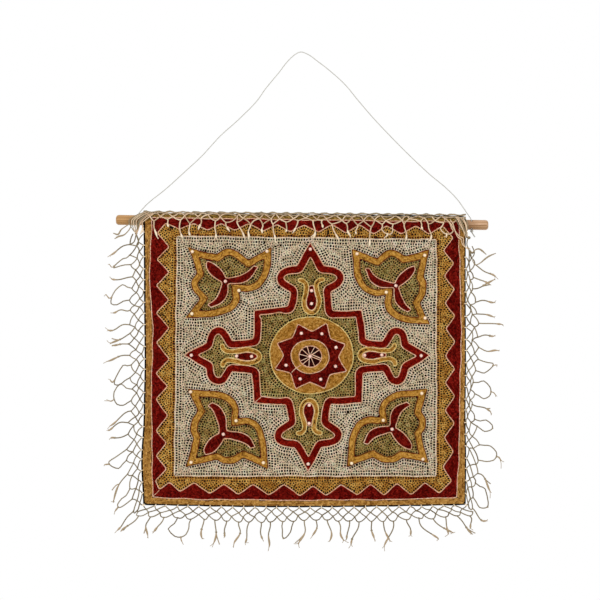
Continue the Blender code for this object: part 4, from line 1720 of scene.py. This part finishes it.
def side_place(u, sign):
    """Places beside the cloth: along is the drop below the rod's axis."""
    length = float(cloth_fall(u))
    column = 1 if sign < 0 else 2
    edge_x = CLOTH_LEFT if sign < 0 else CLOTH_RIGHT

    def place(along, out, lift=0.0):
        turn = corner_turn(length - along)
        drop = min(along, length)
        x = edge_x + float(edge_wander(max(drop, 0) / length, column))
        x += sign * (SEWN_GAP + out * math.cos(turn))
        y = float(front_y(u, max(drop, 0.0))) - lift
        return np.array([x, y, rod_height(edge_x) - drop - out * math.sin(turn)])
    return place


def bottom_place(along, out, lift=0.0):
    """Places below the hem: along runs from the cloth's left edge."""
    u = min(max(along / CLOTH_WIDTH, 0.0), 1.0)
    turn = corner_turn(CLOTH_WIDTH - along) - corner_turn(along)
    x = CLOTH_LEFT + along + out * math.sin(turn)
    fall = float(cloth_fall(u))
    z = rod_height(CLOTH_LEFT + u * CLOTH_WIDTH) - fall - SEWN_GAP - out * math.cos(turn)
    return np.array([x, float(front_y(u, fall)) - lift, z])


def top_place(along, out, lift=0.0):
    """Places over the rod's front: the net lies on the stitches."""
    stand_off = CLOTH_THICKNESS / 2 + 0.8 * MM
    arc = (math.pi / 2 - TOP_FRINGE_LEAN_BACK) * (WRAP_RADIUS + stand_off)
    x = CLOTH_LEFT + along
    if out < arc:
        angle = (arc - out) / (WRAP_RADIUS + stand_off)
        radius = WRAP_RADIUS + stand_off + lift
        return np.array([x, -radius * math.cos(angle), rod_height(x) + radius * math.sin(angle)])
    return on_cloth(x, rod_height(x) - (out - arc), stand_off + lift)


def roll_rise(along):
    """How much higher the net's heading stands towards the right."""
    return ROLL_RISE * float(ease(along / CLOTH_WIDTH))


def sew_roll(mat):
    """The ground cloth's selvedge, rolled along the top of the rod under the net's heading."""
    roll = Strands()
    path = []
    for along in np.linspace(0.5 * MM, CLOTH_WIDTH - 0.5 * MM, 90):
        lift = -1.3 * MM + roll_rise(along) + 0.25 * MM * math.sin(along * 310)
        path.append(top_place(along, -1.2 * MM, lift))
    radii = np.full(len(path), ROLL_RADIUS)
    radii[[0, -1]] = 0.4 * MM
    radii[[1, -2]] = 0.9 * MM
    roll.add(tube(path, radii, 8), 0.5)
    return roll.piece("rolled_selvedge", mat, "base_cloth")


def tassel_rows(first, last, count, shortest, longest, droop):
    """Root, length and angle of each tassel, by the same rule as the solids' teeth."""
    pitch = (last - first) / count
    for i in range(count):
        longer = 0.5 + 0.5 * math.sin(LENGTH_RHYTHM * i)
        angle = droop + TASSEL_SWING * math.sin(SWING_RHYTHM * i)
        length = shortest + (longest - shortest) * longer
        yield first + pitch * (i + 0.5), length, math.radians(angle)


def spread(radii, path):
    """A radius, or a string's radii from end to end, for each point of its path."""
    if np.ndim(radii) == 0:
        return radii
    return np.interp(np.linspace(0, 1, len(path)), np.linspace(0, 1, len(radii)), radii)


class Net:
    """One side's net: columns of knots, strings between them, and hanging ends."""

    def __init__(self, name, place, depth, tassels, slack, skipped):
        self.name, self.place, self.depth = name, place, depth
        self.tassels, self.slack, self.skipped = tassels, slack, skipped
        self.rows, self.uneven, self.shares, self.swag, self.tied = NET_SHAPES[name]
        self.strings, self.ties = Strands(), Strands()
        self.pitch = (tassels[-1][0] - tassels[0][0]) / (len(tassels) - 1)
        self.start = tassels[0][0] - 0.5 * self.pitch
        self.columns = len(tassels)
        self.knots = {}

    def knot_spot(self, column, row):
        """The (along, out) of a knot, a little out of line."""
        if (column, row) not in self.knots:
            jog = RNG.normal(0, self.uneven, 2) * self.pitch * (1.0 if row else 0.4)
            along = self.start + (column + 0.5 * (row % 2)) * self.pitch
            drift = 1 + DEPTH_DRIFT[self.name] * math.sin(along * 41 + 2.0)
            out = self.depth * self.shares[row] * drift
            spot = (along + jog[0] + self.slack * out, out + jog[1] * 0.7 * (row > 0))
            self.knots[(column, row)] = spot
        return self.knots[(column, row)]

    def lift(self, column, row):
        """How far a knot stands forward."""
        return 0.55 * MM * math.sin(2.1 * column + 1.7 * row) * (row > 0)

    def string_between(self, a, b, bow, swag, lifts):
        """A string from knot to knot, bowed a little as slack string is."""
        a, b = np.array(a), np.array(b)
        way = b - a
        sideways = np.array([-way[1], way[0]])
        path = []
        for t in (0.0, 0.25, 0.5, 0.75, 1.0):
            along, out = (a + way * t + (sideways * bow + (0, swag * self.pitch))
                          * math.sin(math.pi * t))
            path.append(self.place(along, out, lifts[0] + (lifts[1] - lifts[0]) * t))
        self.strings.add(tube(path, STRING_RADIUS * RNG.uniform(0.9, 1.08), 5),
                         RNG.uniform(0.1, 0.55))

    def knot(self, place, size=1.0, tint=0.4):
        radii = KNOT_RADIUS * size * RNG.uniform(0.85, 1.15, 3) * (1.0, 0.8, 1.0)
        self.strings.add(blob(place, radii, 6, 4), tint + RNG.uniform(-0.15, 0.15))

    def skips(self, column, row):
        """Whether a corner bunch takes the place of this knot."""
        return self.knot_spot(column, row)[0] < self.skipped

    def first_knot(self, row):
        """The (along, out) of the row's first knot past the bunch."""
        return self.knot_spot(next(c for c in range(self.columns) if not self.skips(c, row)), row)

    def weave(self):
        """The knotted mesh, from the cloth's edge out to the hanging ends."""
        for row in range(1, self.rows + 1):
            half_columns = row % 2
            for column in range(self.columns + 1 - half_columns):
                if self.skips(column, row):
                    continue
                here = self.knot_spot(column, row)
                self.knot(self.place(*here, self.lift(column, row)))
                above = (column, column + 1) if half_columns else (column - 1, column)
                for other in above:
                    if not half_columns and not 0 <= other < self.columns:
                        continue
                    swag = self.swag if row == self.rows else 0.0
                    self.string_between(self.knot_spot(other, row - 1), here,
                                        RNG.normal(0, 0.06), swag,
                                        (self.lift(other, row - 1), self.lift(column, row)))

    def bind(self):
        """Small pale stitches that sew the net to the cloth's edge."""
        for column in range(self.columns + 1):
            along, _ = self.knot_spot(column, 0)
            if along < self.skipped:
                continue
            path = [self.place(along + aside * MM, out * MM, lift * MM)
                    for aside, out, lift in BINDING_LOOP]
            self.ties.add(tube(smooth_through(path, 2), STRING_RADIUS * 0.8, 5), 0.8)

    def trail(self, index):
        """A slack string's way from its knot, as (along, out, lift)."""
        _, length, angle = self.tassels[index]
        root = (index, self.rows)
        along, out = self.knot_spot(*root)
        share = np.linspace(0, 1, TRAIL_STEPS)
        turn = angle + RNG.normal(0, 0.15)
        curl = np.sin(RNG.uniform(*CURL_TURNS) * share + RNG.uniform(0, 6.3))
        curl = (curl - curl[0]) * RNG.uniform(*CURL_WIDTH) * length
        sway = RNG.normal(0, END_SWAY) * length * share ** 2
        reach = length * RNG.uniform(*END_REACH) * share
        lift = self.lift(*root) * (1 - share) + 0.5 * MM * np.sin(5 * share + index)
        return np.stack([along + reach * math.sin(turn) + curl + sway,
                         out + reach * math.cos(turn), lift], -1)

    def lay(self, trail, radii, tint):
        """A string along a trail of (along, out, lift)."""
        path = smooth_through([self.place(*spot) for spot in trail], 2)
        self.strings.add(tube(path, spread(radii, path), 5), tint)

    def fray(self, trail, shape=1.0):
        """The untwisted end of a string: a thick soft lock and stray fibres."""
        self.lay(trail, FRAY_RADII * shape, RNG.uniform(0.75, 1.0))
        tip, way = trail[-1], trail[-1] - trail[-3]
        for _ in range(2):
            astray = np.array([RNG.normal(0, 0.3), RNG.normal(0, 0.3), 0.0])
            astray *= np.abs(way[:2]).sum()
            ends = np.array([trail[-2], tip + astray * 0.2, tip + way * 0.2 + astray * 0.7])
            self.lay(ends, 0.4 * MM, 0.8)

    def hang_ends(self):
        """Loose ends, some split in two, and neighbours tied to each other."""
        index = 0
        while index < len(self.tassels):
            tied = index + 1 < len(self.tassels) and RNG.random() < self.tied
            if self.tassels[index][0] < self.skipped:
                index += 1
            elif tied:
                self.tied_pair(index)
                index += 2
            else:
                self.loose_end(index)
                index += 1

    def loose_end(self, index):
        """A string that hangs free and frays at its end."""
        trail = self.trail(index)
        self.lay(trail[:7], STRING_RADIUS * 1.05, RNG.uniform(0.2, 0.6))
        start = int(RNG.integers(4, 7))
        self.fray(trail[start:])
        if RNG.random() < SPLIT_ENDS:
            branch = self.trail(index)
            branch = trail[start] + (branch[start:] - branch[start]) * RNG.uniform(0.7, 1.0)
            self.lay(branch, STRING_RADIUS * 0.9, RNG.uniform(0.5, 0.9))
        if RNG.random() < KNOTTED_ENDS:
            self.knot(self.place(*trail[start]), 1.35, 0.6)

    def tied_pair(self, index):
        """Two neighbouring strings that meet in a knot and go on as one thin end."""
        one, two = self.trail(index), self.trail(index + 1)
        meet = (one[7] + two[7]) / 2
        for trail in (one, two):
            turn = trail[6] * 0.62 + meet * 0.38
            shoulder = trail[4] + (trail[4] - meet) * (0.16, 0.0, 0.0)
            loop = np.stack([trail[0], trail[2], shoulder, turn, meet])
            self.lay(loop, STRING_RADIUS, RNG.uniform(0.2, 0.6))
        self.knot(self.place(*meet), 1.3, 0.75)
        if RNG.random() < TIED_ON_ENDS:
            way = (one[8] + two[8] - one[4] - two[4]) / 4
            aside = np.array([RNG.normal(0, 3.0 * MM), 0.0, 0.0])
            self.fray(np.array([meet, meet + way * 0.5, meet + way + aside]),
                      RNG.uniform(0.5, 0.9))

    def head(self):
        """The wavy strings along the top of the rod that carry the net's first meshes."""
        spots = np.arange(0.0, CLOTH_WIDTH, HEADING_STEP)
        for level, stand_off, rise, phase, tint in HEADING_STRINGS:
            waves = np.sin(spots * 2 * np.pi / self.pitch * 0.93 + phase)
            path = []
            for along, wave in zip(spots, waves):
                out = level * MM + HEADING_WAVE * wave + RNG.normal(0, 0.5 * MM)
                lift = (stand_off + rise * wave) * MM + roll_rise(along) * (rise > 0)
                path.append(self.place(along, out, lift + RNG.normal(0, 0.25 * MM)))
            self.ties.add(tube(path, STRING_RADIUS, 5), tint)

    def strand(self, places, radii=STRING_RADIUS, tint=0.35, pale=False):
        """A string through places of the frame."""
        path = smooth_through(places, 3)
        (self.ties if pale else self.strings).add(tube(path, spread(radii, path), 5), tint)

    def end_strand(self, flat, depth):
        """A bunch's own hanging end, thicker past its middle."""
        self.strand([(x, depth, z) for x, z in flat], BUNCH_END_RADII, 0.7)

    def bunch_left(self):
        """Net drawn together over the rod beside the cloth's top left corner, and its ends."""
        x, z = LEFT_GATHER
        for number, share in enumerate(np.linspace(0, 1, LEFT_STRINGS)):
            top, front = crossing(LEFT_TOPS, share), crossing(LEFT_FRONTS, share)
            forward = 0.0085 + 0.0028 * share
            jog = RNG.normal(0, BUNCH_JOG, 2)
            self.strand([(top, BUNCH_BACK_Y, rod_height(top) + BUNCH_TOP_RISE),
                         ((top + front) / 2, -forward * 0.85, rod_height(top) + 0.0062),
                         (front, -forward, rod_height(front) - 0.0010),
                         ((x + front) / 2 + jog[0], -0.0078, z + 0.0062),
                         (x + jog[0], LEFT_GATHER_Y, z + jog[1])], BUNCH_STRING,
                        RNG.uniform(0.1, 0.6), number % 2 == 1)
        self.knot(np.array((x, LEFT_GATHER_Y, z)), 1.6, 0.5)
        for flat in LEFT_TAILS:
            self.end_strand(flat, LEFT_TAILS_Y)
        for row, drop in enumerate(LEFT_LINK_DROPS, 1):
            knot = self.first_knot(row)
            self.strand([(x, LEFT_GATHER_Y, z - 0.001),
                         self.place(knot[0] - 0.004, knot[1] - drop),
                         self.place(*knot)], STRING_RADIUS, 0.3)

    def bunch_right(self):
        """Net drawn over the corner and hung from the cloth's top right edge."""
        x, z = RIGHT_GATHER
        for number, share in enumerate(np.linspace(0, 1, RIGHT_STRINGS)):
            top, front = crossing(RIGHT_TOPS, share), crossing(RIGHT_FRONTS, share)
            jog = RNG.normal(0, BUNCH_JOG, 2)
            self.strand([(top, BUNCH_BACK_Y, rod_height(top) + BUNCH_TOP_RISE),
                         ((top + front) / 2, -0.0100, rod_height(top) + 0.0055),
                         (front, -0.0118, rod_height(front) - 0.0015),
                         (x + jog[0], RIGHT_GATHER_Y, z + jog[1])], BUNCH_STRING,
                        RNG.uniform(0.1, 0.7), number % 3 > 0)
        self.knot(np.array(RIGHT_KNOT), 2.1, 0.35)
        self.strand([(x, RIGHT_GATHER_Y, z), RIGHT_KNOT], 0.9 * MM)
        before, beside = RIGHT_FORWARD
        for width in (0.0, 2.6 * MM):
            apart = width * np.cos(np.linspace(0, 5.5, len(RIGHT_STRAND)))
            places = [(px + by, before if px < CLOTH_RIGHT - 3 * MM else beside, pz + by * 0.6)
                      for (px, pz), by in zip(RIGHT_STRAND, apart)]
            self.strand(places, 0.6 * MM, 0.4, True)
        self.strand([(px, beside, pz) for px, pz in RIGHT_FALL])
        for flat in RIGHT_TAILS:
            self.end_strand(flat, RIGHT_TAILS_Y)
        for row in range(1, self.rows + 1):
            knot = self.place(*self.first_knot(row))
            self.strand([(0.2178, -0.0065, -0.2562), ((0.2185 + knot[0]) / 2, -0.005, -0.2610),
                         knot], STRING_RADIUS, 0.3)

    def pieces(self, mat, pale, *nodes):
        """The net and the strings that hold it, in place of the solid fringe."""
        made = [self.strings.piece(f"net_{self.name}", mat, "fringe_string"),
                self.ties.piece(f"net_stitches_{self.name}", pale, "cord_string")]
        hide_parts(*nodes)
        return made


def make_nets(mat, pale):
    runs = {
        # name: place, run, slack of the net downwards, where a bunch ends
        "left": (side_place(0, -1), float(cloth_fall(0)), 0.22, 0.0190),
        "right": (side_place(1, 1), float(cloth_fall(1)), 0.30, 0.0350),
        "bottom": (bottom_place, CLOTH_WIDTH, 0.0, -1.0),
        "top": (top_place, CLOTH_WIDTH, 0.0, -1.0),
    }
    made = []
    for name, depth, first_tassel, count, shortest, longest, droop in FRINGES:
        place, last, slack, skipped = runs[name]
        tassels = list(tassel_rows(first_tassel, last, count, shortest, longest, droop))
        net = Net(name, place, depth, tassels, slack, skipped)
        net.weave()
        net.hang_ends()
        if name == "left":
            net.bunch_left()
        if name == "right":
            net.bunch_right()
        if name == "top":
            net.head()
            made += net.pieces(pale, mat, f"fringe_{name}")
        else:
            net.bind()
            made += net.pieces(mat, pale, f"fringe_{name}")
    return made


# ---- cord and rod

KNOT_NODES = ("cord_knot_left", "cord_knot_right")
PLY = CORD_DIAMETER / 4                # from the cord's middle to a ply's
TWIST_LENGTH = 4.2 * MM
TWIST_STEPS = 6                        # sections in a turn


def dress(node, material):
    """Gives its material to a solid that is seen as it is."""
    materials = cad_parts[node].data.materials
    materials.clear()
    materials.append(material)


def cord_y(x):
    """The cord leans forward from the nail to the rod's holes."""
    return -BORE_FORWARD * min(abs(x) / min(-BORE_LEFT_X, BORE_RIGHT_X), 1.0)


def make_cord(mat):
    """Two plies twisted about the cord's own line."""
    route = [(x, cord_y(x), z) for x, z in CORD_ROUTE]
    line = smooth_through(route, 8)
    run = np.concatenate([[0], np.cumsum(np.linalg.norm(np.diff(line, axis=0), axis=1))])
    length = run[-1]
    at = np.linspace(0, length, int(length / TWIST_LENGTH * TWIST_STEPS))
    core = np.stack([np.interp(at, run, line[:, axis]) for axis in range(3)], -1)
    heading = np.gradient(core, axis=0)
    heading /= np.linalg.norm(heading, axis=1, keepdims=True)
    side = np.cross(heading, (0, 1, 0))
    side /= np.linalg.norm(side, axis=1, keepdims=True)
    other = np.cross(heading, side)
    strands = Strands()
    for start in (0.0, math.pi):
        angle = (2 * np.pi * at / TWIST_LENGTH + start)[:, None]
        path = core + PLY * 0.92 * (np.cos(angle) * side + np.sin(angle) * other)
        strands.add(tube(path, PLY * 1.05, 6), 0.5)
    cord = strands.piece("cord", mat, "cord_string")
    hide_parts("hanging_cord")
    tuple(route[0])
    return cord


# ---- studio

PICTURE_WIDTH = 0.780
PICTURE_CENTRE = (-0.0013, -0.3216)
CAMERA_DISTANCE = 3.4
SENSOR = 36.0                          # in mm
FLOOR_HALF = 3.0                       # half its width, and how far it comes forward
FLOOR_BACK = 0.22
FLOOR_HEIGHT = -0.742
LIGHT_TARGET = (0, 0, -0.4)
LIGHTS = (
    # name, location, size, power
    ("key", (-1.3, -1.9, 0.9), 0.8, 16.0),
    ("fill", (1.6, -1.6, 0.1), 1.2, 5.0),
)


def make_camera():
    """The photo's view: straight from the front, from far enough to be nearly flat."""
    data = bpy.data.cameras.new("camera")
    data.sensor_width = SENSOR
    data.lens = SENSOR * CAMERA_DISTANCE / PICTURE_WIDTH
    camera = put("camera", data)
    camera.location = (PICTURE_CENTRE[0], -CAMERA_DISTANCE, PICTURE_CENTRE[1])
    camera.rotation_euler = (math.pi / 2, 0, 0)
    bpy.context.scene.camera = camera


def add_light(name, location, size, power):
    data = bpy.data.lights.new(name, "AREA")
    data.size = size
    data.energy = power
    light = put(name, data)
    light.location = location
    aim = Vector(LIGHT_TARGET) - Vector(location)
    light.rotation_euler = aim.to_track_quat("-Z", "Y").to_euler()


def make_studio():
    """A pale floor below the hanging, white surroundings and soft lights."""
    mesh = bpy.data.meshes.new("floor")
    corners = ((-FLOOR_HALF, -FLOOR_HALF), (FLOOR_HALF, -FLOOR_HALF), (FLOOR_HALF, FLOOR_BACK),
               (-FLOOR_HALF, FLOOR_BACK))
    mesh.from_pydata([(x, y, FLOOR_HEIGHT) for x, y in corners], [], [(0, 1, 2, 3)])
    mesh.materials.append(floor_finish("floor"))
    floor = put("floor", mesh)
    world = bpy.data.worlds.new("studio")
    world.use_nodes = True
    backdrop = world.node_tree.nodes["Background"]
    backdrop.inputs["Color"].default_value = (1, 1, 1, 1)
    backdrop.inputs["Strength"].default_value = 1.0
    bpy.context.scene.world = world
    bpy.context.scene.view_settings.view_transform = "Standard"
    for light in LIGHTS:
        add_light(*light)


def main():
    make_camera()
    make_studio()
    string = string_finish("net_string", "6E6046", "90836A", "B09A7C")
    pale_string = string_finish("net_string_pale", "BC9C7C", "E2C8A8", "F8E8CC")
    cord_string = string_finish("cord_string", "ABA89F", "C4C2BB", "D8D6D0", 1300.0)
    make_cord(cord_string)
    for knot in KNOT_NODES:
        dress(knot, cord_string)
    dress("rod", wood_finish("dowel_wood"))
    threads = {name: thread_finish(f"thread_{name}", *colours) for name, *colours in THREADS}
    zones = draw_design()
    cloth = make_base_cloth(cloth_finish("ground_cloth"))
    work = work_open_zones(zones, threads)
    work += work_dense_zones(zones, threads)
    work += work_outlines(zones, threads)
    work += work_dashes(zones, threads)
    work += work_back(zones, threads)
    work += work_wheel(threads)
    work += sew_beads(pearl_finish("bead_pearl"), threads["cream"])
    work.append(sew_flap(cord_string))
    work.append(sew_roll(cloth.data.materials[0]))
    nets = make_nets(string, pale_string)


main()
